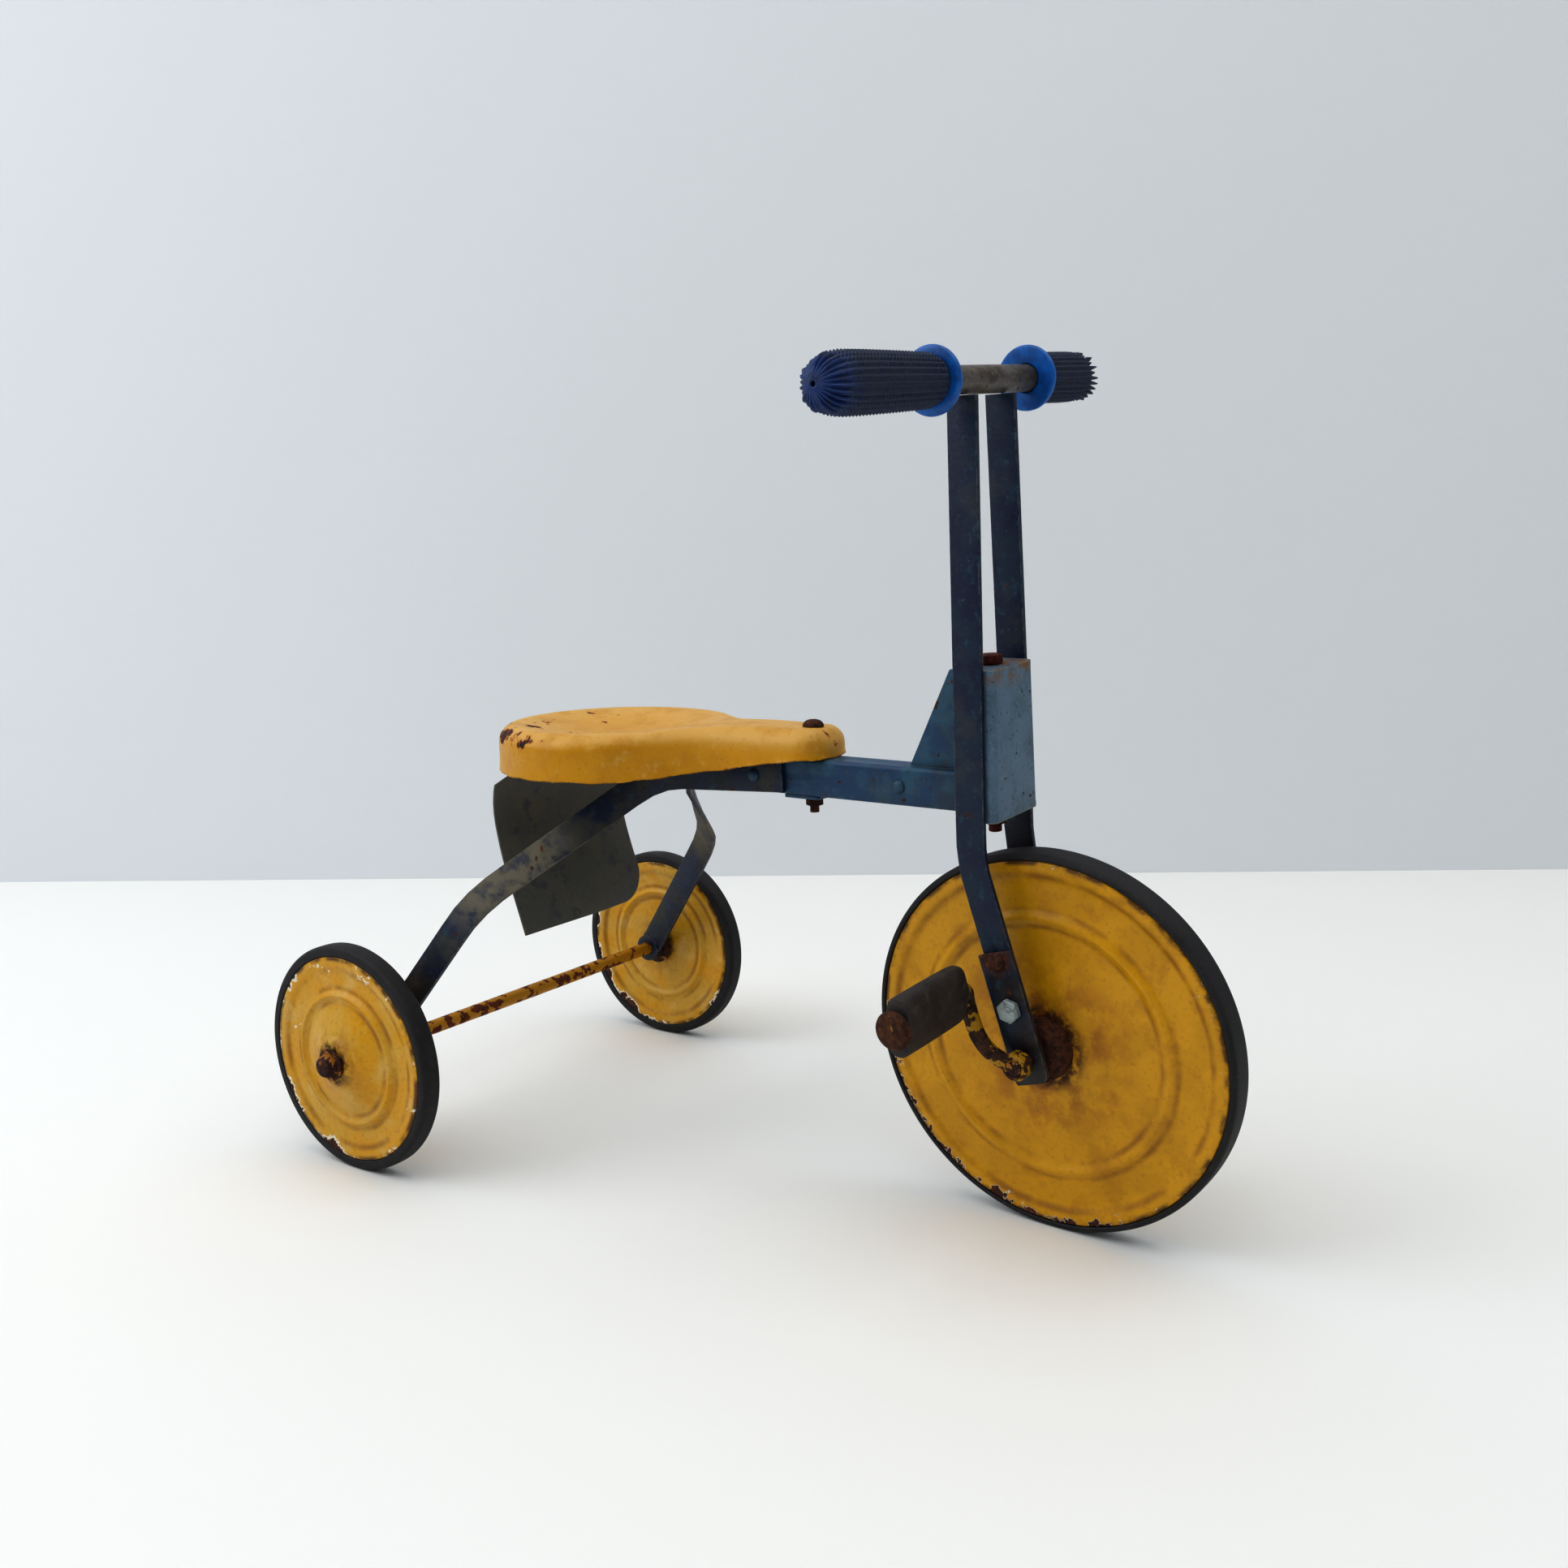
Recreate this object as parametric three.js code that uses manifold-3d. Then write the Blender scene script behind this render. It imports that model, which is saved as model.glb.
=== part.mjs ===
// A small child's tricycle with a direct-drive front wheel, in millimetres.
// +X is forward, +Y is the rider's left, +Z is up. The origin is on the floor, under the middle of the tricycle.
import * as THREE from "three";
import { mergeVertices } from "three/addons/utils/BufferGeometryUtils.js";
import Module from "manifold-3d";

const wasm = await Module();
wasm.setup();

// Clearance between touching pieces.
const GAP = 0.3;

// Stance, measured from a point on the floor under the rear axle.
const REAR_TRACK = 334;
const LENGTH_CENTRE = 241;
const HEAD_X = 406;
const HEAD_FOOT_Y = 15;
const HEAD_LEAN = THREE.MathUtils.degToRad(4);
const STEER_AT_REST = THREE.MathUtils.degToRad(-3);

// Wheels: two pressed discs that clamp a solid rubber tyre.
const FRONT_RADIUS = 120;
const REAR_RADIUS = 79;
const FRONT_RIM = 115.5;
const REAR_RIM = 71.5;
const DISC_SHEET = 1.5;
const AXLE_RADIUS = 5;
const RUNNING_BORE = 5.7;

// Boom, rear stays and head.
const BOOM_WIDTH = 24;
const BOOM_TOP = 284;
const BOOM_HEIGHT = 24;
const BOOM_REAR = 70;
const BOOM_SHEET = 2;
const GUSSET_RIVET_X = 344;
const GUSSET_RIVET_Z = 271.5;
const STAY_RIVET_X = 235;
const STAY_RIVET_Z = 271;
const STAY_WIDTH = 20;
const STRIP = 3;
const STAY_EYE_Y = 148;
const HEAD_TUBE_RADIUS = 9;
const KINGPIN_RADIUS = 4;
const HEAD_BOTTOM = 260.5;
const HEAD_TOP = 350.5;

// Fork, measured from the kingpin's own axis at floor level.
const AXLE_AHEAD = 35;
const AXLE_HEIGHT = 120.6;
const BAR_HEIGHT = 512.5;
const BAR_RADIUS = 8;
const BLADE_WIDTH = 19;
const BLADE_FOOT_Y = 28;
const BLADE_TOP_Y = 21;
const BLADE_BEND = 115;
const BLADE_SWEEP = Math.atan(AXLE_AHEAD / BLADE_BEND);
const FORK_INNER = BLADE_FOOT_Y - STRIP / 2;
const FORK_OUTER = FORK_INNER + 2 * STRIP + GAP;
const FORK_RIVET_UP = 61;
const FORK_BOLT_UP = 31;
const CRANK_Y = 42.7;
const CRANK_ROD = 5;
const PEDAL_BACK = -33;
const PEDAL_UP = 43;

// Seat.
const PAN_X = 107;
const PAN_RADIUS = 86;
const SEAT_TIP = 290;
const SEAT_BOLT_X = 273;
const SEAT_SHEET = 2;

const paint = (color, roughness = 0.5, metalness = 0) =>
  new THREE.MeshStandardMaterial({ color, roughness, metalness });
const yellow = paint(0xd9a02c, 0.45);
const seatYellow = paint(0xe2a232, 0.4);
const blue = paint(0x1c2f4a, 0.45);
const slate = paint(0x55636f, 0.5);
const darkSheet = paint(0x33322f, 0.6);
const rust = paint(0x5a3527, 0.85, 0.2);
const steel = paint(0x8f9696, 0.45, 0.8);
const bareTube = paint(0x6d6a66, 0.5, 0.6);
const tyreRubber = paint(0x2b2c30, 0.75);
const pedalRubber = paint(0x393631, 0.8);
const gripVinyl = paint(0x24365e, 0.5);

const v2 = (x, y) => new THREE.Vector2(x, y);
const v3 = (x, y, z) => new THREE.Vector3(x, y, z);

function solid(geometry) {
  const plain = geometry.clone();
  plain.deleteAttribute("normal");
  plain.deleteAttribute("uv");
  const merged = mergeVertices(plain, 1e-4);
  return new wasm.Manifold(
    new wasm.Mesh({
      numProp: 3,
      vertProperties: merged.attributes.position.array,
      triVerts: new Uint32Array(merged.index.array),
    }),
  );
}

function shape(manifold) {
  const { vertProperties, triVerts } = manifold.getMesh();
  const geometry = new THREE.BufferGeometry();
  geometry.setAttribute("position", new THREE.BufferAttribute(vertProperties, 3));
  geometry.setIndex(new THREE.BufferAttribute(triVerts, 1));
  geometry.computeVertexNormals();
  return geometry;
}

const join = (...pieces) => shape(pieces.map(solid).reduce((a, b) => a.add(b)));
const cut = (piece, ...tools) => shape(tools.map(solid).reduce((a, b) => a.subtract(b), solid(piece)));
const common = (a, b) => shape(solid(a).intersect(solid(b)));

// Rods along Y and along Z, given by their ends.
function rodY(radius, from, to, sides = 24) {
  return new THREE.CylinderGeometry(radius, radius, to - from, sides).translate(0, (from + to) / 2, 0);
}

function rodZ(radius, from, to, sides = 24) {
  return rodY(radius, from, to, sides).rotateX(Math.PI / 2);
}

// A hexagon of the given width across its flats, along Y or Z.
const hexY = (flats, from, to) => rodY(flats / Math.sqrt(3), from, to, 6);
const hexZ = (flats, from, to) => rodZ(flats / Math.sqrt(3), from, to, 6);

// A turned piece about Y, from pairs of radius and place along the axis.
const turned = (profile, sides) =>
  new THREE.LatheGeometry(
    profile.map(([r, y]) => v2(r, y)),
    sides,
  );

// A ring whose section is the closed profile.
const ring = (profile, sides) => turned([...profile, profile[0]], sides);

// A flat outline in X and Z, as thick as given and centred on y = 0.
function plate(outline, thickness) {
  return new THREE.ExtrudeGeometry(outline, { depth: thickness, bevelEnabled: false, curveSegments: 5 })
    .rotateX(Math.PI / 2)
    .translate(0, thickness / 2, 0);
}

// Straight runs joined by round bends.
function bentPath(points, bend) {
  const path = new THREE.CurvePath();
  let start = points[0];
  for (let i = 1; i < points.length - 1; i++) {
    const corner = points[i];
    const before = corner.clone().lerp(points[i - 1], bend / corner.distanceTo(points[i - 1]));
    const after = corner.clone().lerp(points[i + 1], bend / corner.distanceTo(points[i + 1]));
    path.add(new THREE.LineCurve3(start, before));
    path.add(new THREE.QuadraticBezierCurve3(before, corner, after));
    start = after;
  }
  path.add(new THREE.LineCurve3(start, points[points.length - 1]));
  return path;
}

// A flat bar along a path. acrossAt gives the way that its width points, at a share of its length.
function flatBar(path, acrossAt, width, thickness, steps) {
  const bar = new THREE.BoxGeometry(1, width, thickness, steps, 1, 1);
  const corners = bar.attributes.position;
  for (let i = 0; i < corners.count; i++) {
    const share = corners.getX(i) + 0.5;
    const along = path.getTangentAt(share);
    const across = acrossAt(share);
    across.addScaledVector(along, -across.dot(along)).normalize();
    const through = along.clone().cross(across);
    const place = path.getPointAt(share);
    place.addScaledVector(across, corners.getY(i)).addScaledVector(through, corners.getZ(i));
    corners.setXYZ(i, place.x, place.y, place.z);
  }
  return bar;
}

function put(parent, name, geometry, material) {
  const mesh = new THREE.Mesh(geometry, material);
  mesh.name = name;
  parent.add(mesh);
  return mesh;
}

// The right-hand piece, and its mirror image on the left.
function putPair(parent, name, geometry, material) {
  put(parent, name + "_right", geometry, material);
  put(parent, name + "_left", geometry, material).scale.y = -1;
}

// Frame -------------------------------------------------------------------------------------------------------------

// The boom is a pressed channel, open below.
function boom() {
  const half = BOOM_WIDTH / 2;
  const radius = 3;
  const section = new THREE.Shape();
  section.moveTo(-half, -BOOM_HEIGHT);
  section.lineTo(-half + BOOM_SHEET, -BOOM_HEIGHT);
  section.lineTo(-half + BOOM_SHEET, -BOOM_SHEET);
  section.lineTo(half - BOOM_SHEET, -BOOM_SHEET);
  section.lineTo(half - BOOM_SHEET, -BOOM_HEIGHT);
  section.lineTo(half, -BOOM_HEIGHT);
  section.absarc(half - radius, -radius, radius, 0, Math.PI / 2);
  section.absarc(-half + radius, -radius, radius, Math.PI / 2, Math.PI);
  const front = HEAD_X - HEAD_TUBE_RADIUS - 2 * GAP;
  const channel = new THREE.ExtrudeGeometry(section, {
    depth: front - BOOM_REAR,
    bevelEnabled: false,
    curveSegments: 4,
  })
    .rotateX(Math.PI / 2)
    .rotateZ(Math.PI / 2)
    .translate(BOOM_REAR, 0, BOOM_TOP);
  return cut(
    channel,
    rodZ(3.4, BOOM_TOP - 6, BOOM_TOP + 6, 16).translate(SEAT_BOLT_X, 0, 0),
    rodY(2.4, -20, 20, 12).translate(GUSSET_RIVET_X, 0, GUSSET_RIVET_Z),
    rodY(2.4, -20, 20, 12).translate(STAY_RIVET_X, 0, STAY_RIVET_Z),
  );
}

// A stay lies flat on the boom's side, leaves it outward and downward, and drops to the rear axle.
function stay() {
  const side = -(BOOM_WIDTH + STRIP) / 2 - GAP;
  const path = bentPath(
    [v3(258, side, 271), v3(152, side, 265), v3(84, -127, 189), v3(0, -STAY_EYE_Y, REAR_RADIUS)],
    22,
  );
  const twist = THREE.MathUtils.degToRad(52);
  const across = (share) => {
    const turn = twist * THREE.MathUtils.smoothstep(share, 0.25, 0.62);
    return v3(-Math.sin(turn), 0, Math.cos(turn));
  };
  const strip = flatBar(path, across, STAY_WIDTH, STRIP, 28);
  const eye = rodY(11, -STAY_EYE_Y - 4, -STAY_EYE_Y + 4, 20).translate(0, 0, REAR_RADIUS);
  return cut(
    join(strip, eye),
    rodY(AXLE_RADIUS + GAP, -STAY_EYE_Y - 30, -STAY_EYE_Y + 30, 24).translate(0, 0, REAR_RADIUS),
    rodY(2.4, -30, 0, 12).translate(STAY_RIVET_X, 0, STAY_RIVET_Z),
  );
}

// A round-headed rivet along Y, between the outer faces that its two heads hold.
function rivet(headRadius, shankRadius, face) {
  return turned(
    [
      [0, -face - 2.4],
      [headRadius * 0.6, -face - 2],
      [headRadius, -face],
      [shankRadius, -face],
      [shankRadius, face],
      [headRadius, face],
      [headRadius * 0.6, face + 2],
      [0, face + 2.4],
    ],
    12,
  );
}

function gusset() {
  const outline = new THREE.Shape([v2(-57, 0), v2(-10, 0), v2(-10, 61), v2(-27, 61)]);
  return plate(outline, STRIP).translate(0, 0, BOOM_TOP + 1.4);
}

function headTube() {
  const [low, high] = [HEAD_BOTTOM + 3.7, HEAD_TOP - 3.7];
  return cut(rodZ(HEAD_TUBE_RADIUS, low, high), rodZ(KINGPIN_RADIUS + 0.7, low - 1, high + 1));
}

// The apron is a thin sheet that hangs behind the saddle and curls forward at its foot.
function apron() {
  const [width, sheet] = [132, 1.6];
  const top = BOOM_TOP + GAP + sheet;
  const profile = new THREE.CatmullRomCurve3(
    [v3(98, 0, top), v3(68, 0, top), v3(53, 0, 272), v3(44, 0, 246), v3(48, 0, 213), v3(69, 0, 150)],
    false,
    "centripetal",
  );
  const hanging = flatBar(profile, () => v3(0, 1, 0), width, sheet, 22);
  const [half, corner, foot, neck, shoulder] = [width / 2 + 1, 28, 148, 45, 256];
  const outline = new THREE.Shape();
  outline.moveTo(-half, foot);
  outline.lineTo(half - corner, foot + 3);
  outline.absarc(half - corner, foot + 3 + corner, corner, -Math.PI / 2, 0);
  outline.lineTo(half, shoulder);
  outline.lineTo(neck, shoulder + 9);
  outline.lineTo(neck, BOOM_TOP + 8);
  outline.lineTo(-neck, BOOM_TOP + 8);
  outline.lineTo(-neck, shoulder + 9);
  outline.lineTo(-half, shoulder);
  return common(hanging, plate(outline, 200).rotateZ(Math.PI / 2));
}

// Rear axle with its end nuts. The nuts are domed and closed.
function domeNut(radius, length) {
  return turned(
    [
      [0, -length],
      [radius * 0.6, -length + 1],
      [radius * 0.92, -length + 3.2],
      [radius, -length + 5.5],
      [radius, 0],
      [AXLE_RADIUS + GAP, 0],
      [AXLE_RADIUS + GAP, -length + 3.5],
      [0, -length + 3.5],
    ],
    20,
  );
}

// Saddle ------------------------------------------------------------------------------------------------------------

function saddleOutline(inset) {
  const radius = PAN_RADIUS - inset;
  const spread = THREE.MathUtils.degToRad(58);
  const [startX, startY] = [PAN_X + radius * Math.cos(spread), radius * Math.sin(spread)];
  const nose = 27 - inset;
  const tip = SEAT_TIP - inset;
  const outline = new THREE.Shape();
  outline.moveTo(startX, startY);
  outline.absarc(PAN_X, 0, radius, spread, 2 * Math.PI - spread);
  outline.bezierCurveTo(startX + 34, -startY + 27, 190, -nose - 6, 222, -nose - 2);
  outline.lineTo(tip - 16, -nose + 1);
  outline.quadraticCurveTo(tip, -nose + 2, tip, 0);
  outline.quadraticCurveTo(tip, nose - 2, tip - 16, nose - 1);
  outline.lineTo(222, nose + 2);
  outline.bezierCurveTo(190, nose + 6, startX + 34, startY - 27, startX, startY);
  return outline;
}

// The blank is drawn up from the skirt to the crown, with the nose standing higher than the pan.
function saddleBlank(inset, low, high, bevel) {
  const blank = new THREE.ExtrudeGeometry(saddleOutline(inset + bevel), {
    depth: high - low - bevel,
    bevelThickness: bevel,
    bevelSize: bevel,
    bevelSegments: 2,
    curveSegments: 9,
  }).translate(0, 0, low);
  const points = blank.attributes.position;
  for (let i = 0; i < points.count; i++) {
    const [x, z] = [points.getX(i), points.getZ(i)];
    const rise = (z - low) / (high - low);
    const crown = high + 5 * THREE.MathUtils.smoothstep(x, 150, 235);
    const skirt = low + 18 * THREE.MathUtils.smoothstep(x, 150, 300);
    points.setZ(i, skirt + (crown - skirt) * Math.max(rise, 0));
  }
  return blank;
}

function saddle() {
  const [skirt, crown] = [267, 298.5];
  const dish = (grow) =>
    new THREE.SphereGeometry(1, 24, 16)
      .rotateX(Math.PI / 2)
      .scale(68 + grow, 66 + grow, 14 + grow)
      .translate(PAN_X - 5, 0, crown + 6);
  const outer = cut(saddleBlank(0, skirt, crown, 5), dish(0));
  const hollow = cut(saddleBlank(SEAT_SHEET, skirt - 6, crown - SEAT_SHEET, 3), dish(SEAT_SHEET));
  return cut(outer, hollow, rodZ(3.4, 280, 320, 16).translate(SEAT_BOLT_X, 0, 0));
}

// A coach bolt: domed head, shank down through the nose and the boom.
function saddleBolt() {
  const bolt = turned(
    [
      [0, 247],
      [3, 247],
      [3, 303.9],
      [7, 303.9],
      [6.2, 306.2],
      [3.6, 307.8],
      [0, 308.3],
    ],
    16,
  );
  return bolt.rotateX(Math.PI / 2).translate(SEAT_BOLT_X, 0, 0);
}

// Wheels ------------------------------------------------------------------------------------------------------------

// A pressed disc from its outer face's radii and heights above the wheel's middle plane.
// face runs from the hub out to the rim, and the height is on the -Y side.
function pressedDisc(face, sides) {
  const outer = face.map(([r, h]) => [r, -h]);
  const inner = face.map(([r, h]) => [r, -h + DISC_SHEET]).reverse();
  return ring([...outer, ...inner], sides);
}

const frontFace = [
  [9.4, 10.8],
  [75, 8.4],
  [80.5, 10.8],
  [86, 8.4],
  [102, 7.6],
  [108, 9.7],
  [FRONT_RIM, 9.7],
];

const rearOuterFace = [
  [8.6, 18.2],
  [13, 18],
  [40, 7.2],
  [45, 8.8],
  [50, 5.8],
  [65, 7.3],
  [REAR_RIM, 7.3],
];

const rearInnerFace = [
  [8.6, 6.6],
  [40, 4.8],
  [45, 6.8],
  [50, 4.8],
  [65, 7.3],
  [REAR_RIM, 7.3],
];

// A tyre has a tongue that the discs clamp and a rounded tread outside their rims.
function tyre(radius, rim, halfTongue, halfTread, sides) {
  const section = [
    [rim - 5.5, -halfTongue],
    [rim + GAP, -halfTongue],
    [rim + GAP, -halfTread],
    [radius - 2, -halfTread],
    [radius, -halfTread + 3.5],
  ];
  return ring([...section, ...section.map(([r, y]) => [r, -y]).reverse()], sides);
}

// The hub sleeve of a rear wheel, with its outer end towards -Y and a flange at its inner end.
const rearHub = ring(
  [
    [RUNNING_BORE, -18.6],
    [8.3, -18.6],
    [8.3, 9.5],
    [15, 9.5],
    [15, 12],
    [10.5, 14],
    [RUNNING_BORE, 14],
  ],
  20,
);

function rearWheel(side, turn) {
  const wheel = new THREE.Group();
  wheel.position.set(0, (turn ? 1 : -1) * (REAR_TRACK / 2), REAR_RADIUS);
  wheel.rotation.z = turn;
  put(wheel, `rear_disc_outer_${side}`, pressedDisc(rearOuterFace, 26), yellow);
  put(wheel, `rear_disc_inner_${side}`, pressedDisc(rearInnerFace, 26), yellow).rotation.z = Math.PI;
  put(wheel, `rear_tyre_${side}`, tyre(REAR_RADIUS, REAR_RIM, 5.4, 7.4, 34), tyreRubber);
  put(wheel, `rear_hub_${side}`, rearHub, rust);
  return wheel;
}

// Fork --------------------------------------------------------------------------------------------------------------

// A blade hangs from the handlebar, spreads towards the wheel and sweeps forward to the axle.
function blade() {
  const foot = 14;
  const path = bentPath(
    [
      v3(0, -BLADE_TOP_Y, BAR_HEIGHT - BAR_RADIUS - GAP),
      v3(0, -BLADE_FOOT_Y, HEAD_BOTTOM - 6),
      v3(0, -BLADE_FOOT_Y, AXLE_HEIGHT + BLADE_BEND),
      v3(AXLE_AHEAD * (1 - foot / BLADE_BEND), -BLADE_FOOT_Y, AXLE_HEIGHT + foot),
    ],
    9,
  );
  return cut(
    flatBar(path, () => v3(1, 0, 0), BLADE_WIDTH, STRIP, 26),
    onSweep(rodY(2.8, -40, 0, 12), FORK_RIVET_UP),
    onSweep(rodY(4.3, -40, 0, 12), FORK_BOLT_UP),
  );
}

// Places a piece on the swept line of the fork, at a distance up from the axle.
function onSweep(geometry, up) {
  return geometry
    .translate(0, 0, up)
    .rotateY(-BLADE_SWEEP)
    .translate(AXLE_AHEAD, 0, AXLE_HEIGHT);
}

// The fork end is a plate on the blade's outer face, with a boss behind it that carries the axle.
function forkEnd() {
  const [half, low, high] = [11.5, -15.5, 66];
  const outline = new THREE.Shape();
  outline.moveTo(-half + 1, low);
  outline.lineTo(half - 6, low);
  outline.quadraticCurveTo(half, low, half, low + 8);
  outline.lineTo(half, high);
  outline.lineTo(-half, high);
  outline.lineTo(-half, low + 2);
  const flat = plate(outline, STRIP).translate(0, -FORK_OUTER + STRIP / 2, 0);
  const boss = rodY(8.5, -FORK_OUTER + 1, -25, 24);
  return onSweep(
    cut(
      join(flat, boss),
      rodY(RUNNING_BORE, -50, 0, 24),
      rodY(2.8, -50, 0, 12).translate(0, 0, FORK_RIVET_UP),
      rodY(4.3, -50, 0, 12).translate(0, 0, FORK_BOLT_UP),
    ),
    0,
  );
}

function forkRivet() {
  const middle = -(FORK_OUTER + FORK_INNER) / 2;
  const reach = (FORK_OUTER - FORK_INNER) / 2 + GAP;
  return onSweep(rivet(5.5, 2.5, reach).translate(0, middle, 0), FORK_RIVET_UP);
}

function forkBolt() {
  const head = FORK_OUTER + GAP;
  return onSweep(
    join(hexY(13, -head - 4, -head), rodY(4, -head - 1, -FORK_INNER + 7, 16)),
    FORK_BOLT_UP,
  );
}

function forkNut() {
  const face = -FORK_INNER + GAP;
  return onSweep(cut(hexY(13, face, face + 5), rodY(4.3, face - 1, face + 7, 16)), FORK_BOLT_UP);
}

// The head bracket is a folded channel between the blades, open to the rear, with a lug at each end for the kingpin.
function headBracket() {
  const [web, back, radius, sheet] = [15.5, -9, 5, 2.5];
  const half = (at) => {
    const share = (at - HEAD_BOTTOM) / (BAR_HEIGHT - BAR_RADIUS - HEAD_BOTTOM);
    return BLADE_FOOT_Y + (BLADE_TOP_Y - BLADE_FOOT_Y) * share - STRIP / 2 - 0.6;
  };
  const wide = half(HEAD_BOTTOM);
  const section = new THREE.Shape();
  section.moveTo(back, -wide);
  section.absarc(web - radius, -wide + radius, radius, -Math.PI / 2, 0);
  section.absarc(web - radius, wide - radius, radius, 0, Math.PI / 2);
  section.lineTo(back, wide);
  section.lineTo(back, wide - sheet);
  section.lineTo(web - sheet, wide - sheet);
  section.lineTo(web - sheet, -wide + sheet);
  section.lineTo(back, -wide + sheet);
  const height = HEAD_TOP - HEAD_BOTTOM;
  const channel = new THREE.ExtrudeGeometry(section, { depth: height, bevelEnabled: false, curveSegments: 5 });
  const points = channel.translate(0, 0, HEAD_BOTTOM).attributes.position;
  for (let i = 0; i < points.count; i++) points.setY(i, (points.getY(i) * half(points.getZ(i))) / wide);
  const lugs = [HEAD_BOTTOM, HEAD_TOP - 3].map((z) =>
    join(
      new THREE.BoxGeometry(web - 1, 2 * half(z) - 3, 3).translate((web - 1) / 2, 0, z + 1.5),
      rodZ(8.8, z, z + 3),
    ),
  );
  return cut(join(channel, ...lugs), rodZ(KINGPIN_RADIUS + GAP, HEAD_BOTTOM - 5, HEAD_TOP + 5, 20));
}

function kingpin() {
  const head = HEAD_TOP + GAP;
  return join(hexZ(13, head, head + 5.5), rodZ(KINGPIN_RADIUS, 249, head + 1, 20));
}

function kingpinNut() {
  const top = HEAD_BOTTOM - GAP;
  return cut(hexZ(13, top - 6, top), rodZ(KINGPIN_RADIUS + GAP, top - 8, top + 1, 20));
}

function handlebar() {
  return cut(rodY(BAR_RADIUS, -105, 105, 28), rodY(BAR_RADIUS - 1.6, -106, 106, 28)).translate(0, 0, BAR_HEIGHT);
}

// A grip slides on the bar and has a round flange at its inner end. body runs from the flange to the outer end.
function grip(body) {
  const end = body[body.length - 1][1];
  return turned(
    [
      [0, -end],
      ...body.map(([r, y]) => [r, -y]).reverse(),
      [14.4, -54.5],
      [18.4, -54],
      [19, -52.6],
      [18.4, -50],
      [BAR_RADIUS + GAP, -50],
      [BAR_RADIUS + GAP, -105.6],
      [0, -105.6],
    ],
    20,
  ).translate(0, 0, BAR_HEIGHT);
}

const RIGHT_GRIP = [
  [14.6, 80],
  [15.6, 132],
  [14.8, 146],
  [11, 155],
  [5, 158.5],
];
const LEFT_GRIP = [
  [14.6, 75],
  [15.4, 100],
  [14.6, 118],
];

// Front wheel and pedals, about the axle ----------------------------------------------------------------------------

const frontHub = ring(
  [
    [AXLE_RADIUS + GAP, -24.6],
    [9, -24.6],
    [9, 24.6],
    [AXLE_RADIUS + GAP, 24.6],
  ],
  24,
);

const hubCup = ring(
  [
    [9.3, -23.5],
    [17, -23.5],
    [19, -21.5],
    [20, -11.2],
    [9.3, -11.2],
  ],
  24,
);

// A crank: an eye on the axle, a curved rod in one plane, and the spindle that the pedal turns on.
function crank() {
  const path = new THREE.QuadraticBezierCurve3(
    v3(-2, -CRANK_Y, 1),
    v3(PEDAL_BACK * 0.85, -CRANK_Y, 4),
    v3(PEDAL_BACK, -CRANK_Y, PEDAL_UP),
  );
  const section = new THREE.Shape();
  section.absarc(0, 0, CRANK_ROD, 0, 2 * Math.PI);
  const arm = new THREE.ExtrudeGeometry(section, { steps: 7, extrudePath: path, curveSegments: 5 });
  const eye = rodY(8.5, -CRANK_Y - 4.5, -CRANK_Y + 4.5, 20);
  const knuckle = new THREE.SphereGeometry(CRANK_ROD, 10, 8).translate(PEDAL_BACK, -CRANK_Y, PEDAL_UP);
  const spindle = rodY(4, -120.5, -CRANK_Y, 16).translate(PEDAL_BACK, 0, PEDAL_UP);
  return cut(join(arm, eye, knuckle, spindle), rodY(AXLE_RADIUS + GAP, -60, 0, 24));
}

// The cap is a closed cup pressed on the spindle's end.
const pedalCap = turned(
  [
    [0, -124],
    [7, -123.4],
    [10.6, -121.8],
    [11.5, -120.2],
    [11.5, -118.6],
    [4.3, -118.6],
    [4.3, -120.8],
    [0, -120.8],
  ],
  18,
);

const pedalSleeve = ring(
  [
    [4.7, -117.6],
    [6.6, -117.6],
    [6.6, -49],
    [4.7, -49],
  ],
  20,
);

// The pedal block: a flat rubber bar, round at its edges, bored for the sleeve.
function pedalBlock() {
  const [halfThick, halfWide, edge] = [8.5, 18, 7.5];
  const outline = new THREE.Shape();
  outline.absarc(halfThick - edge, halfWide - edge, edge, 0, Math.PI / 2);
  outline.absarc(edge - halfThick, halfWide - edge, edge, Math.PI / 2, Math.PI);
  outline.absarc(edge - halfThick, edge - halfWide, edge, Math.PI, 1.5 * Math.PI);
  outline.absarc(halfThick - edge, edge - halfWide, edge, 1.5 * Math.PI, 2 * Math.PI);
  const block = plate(outline, 66).translate(0, -83, 0);
  return cut(block, rodY(6.9, -120, -40, 20));
}

// Assembly ----------------------------------------------------------------------------------------------------------

const tricycle = new THREE.Group();
tricycle.position.x = -LENGTH_CENTRE;

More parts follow.
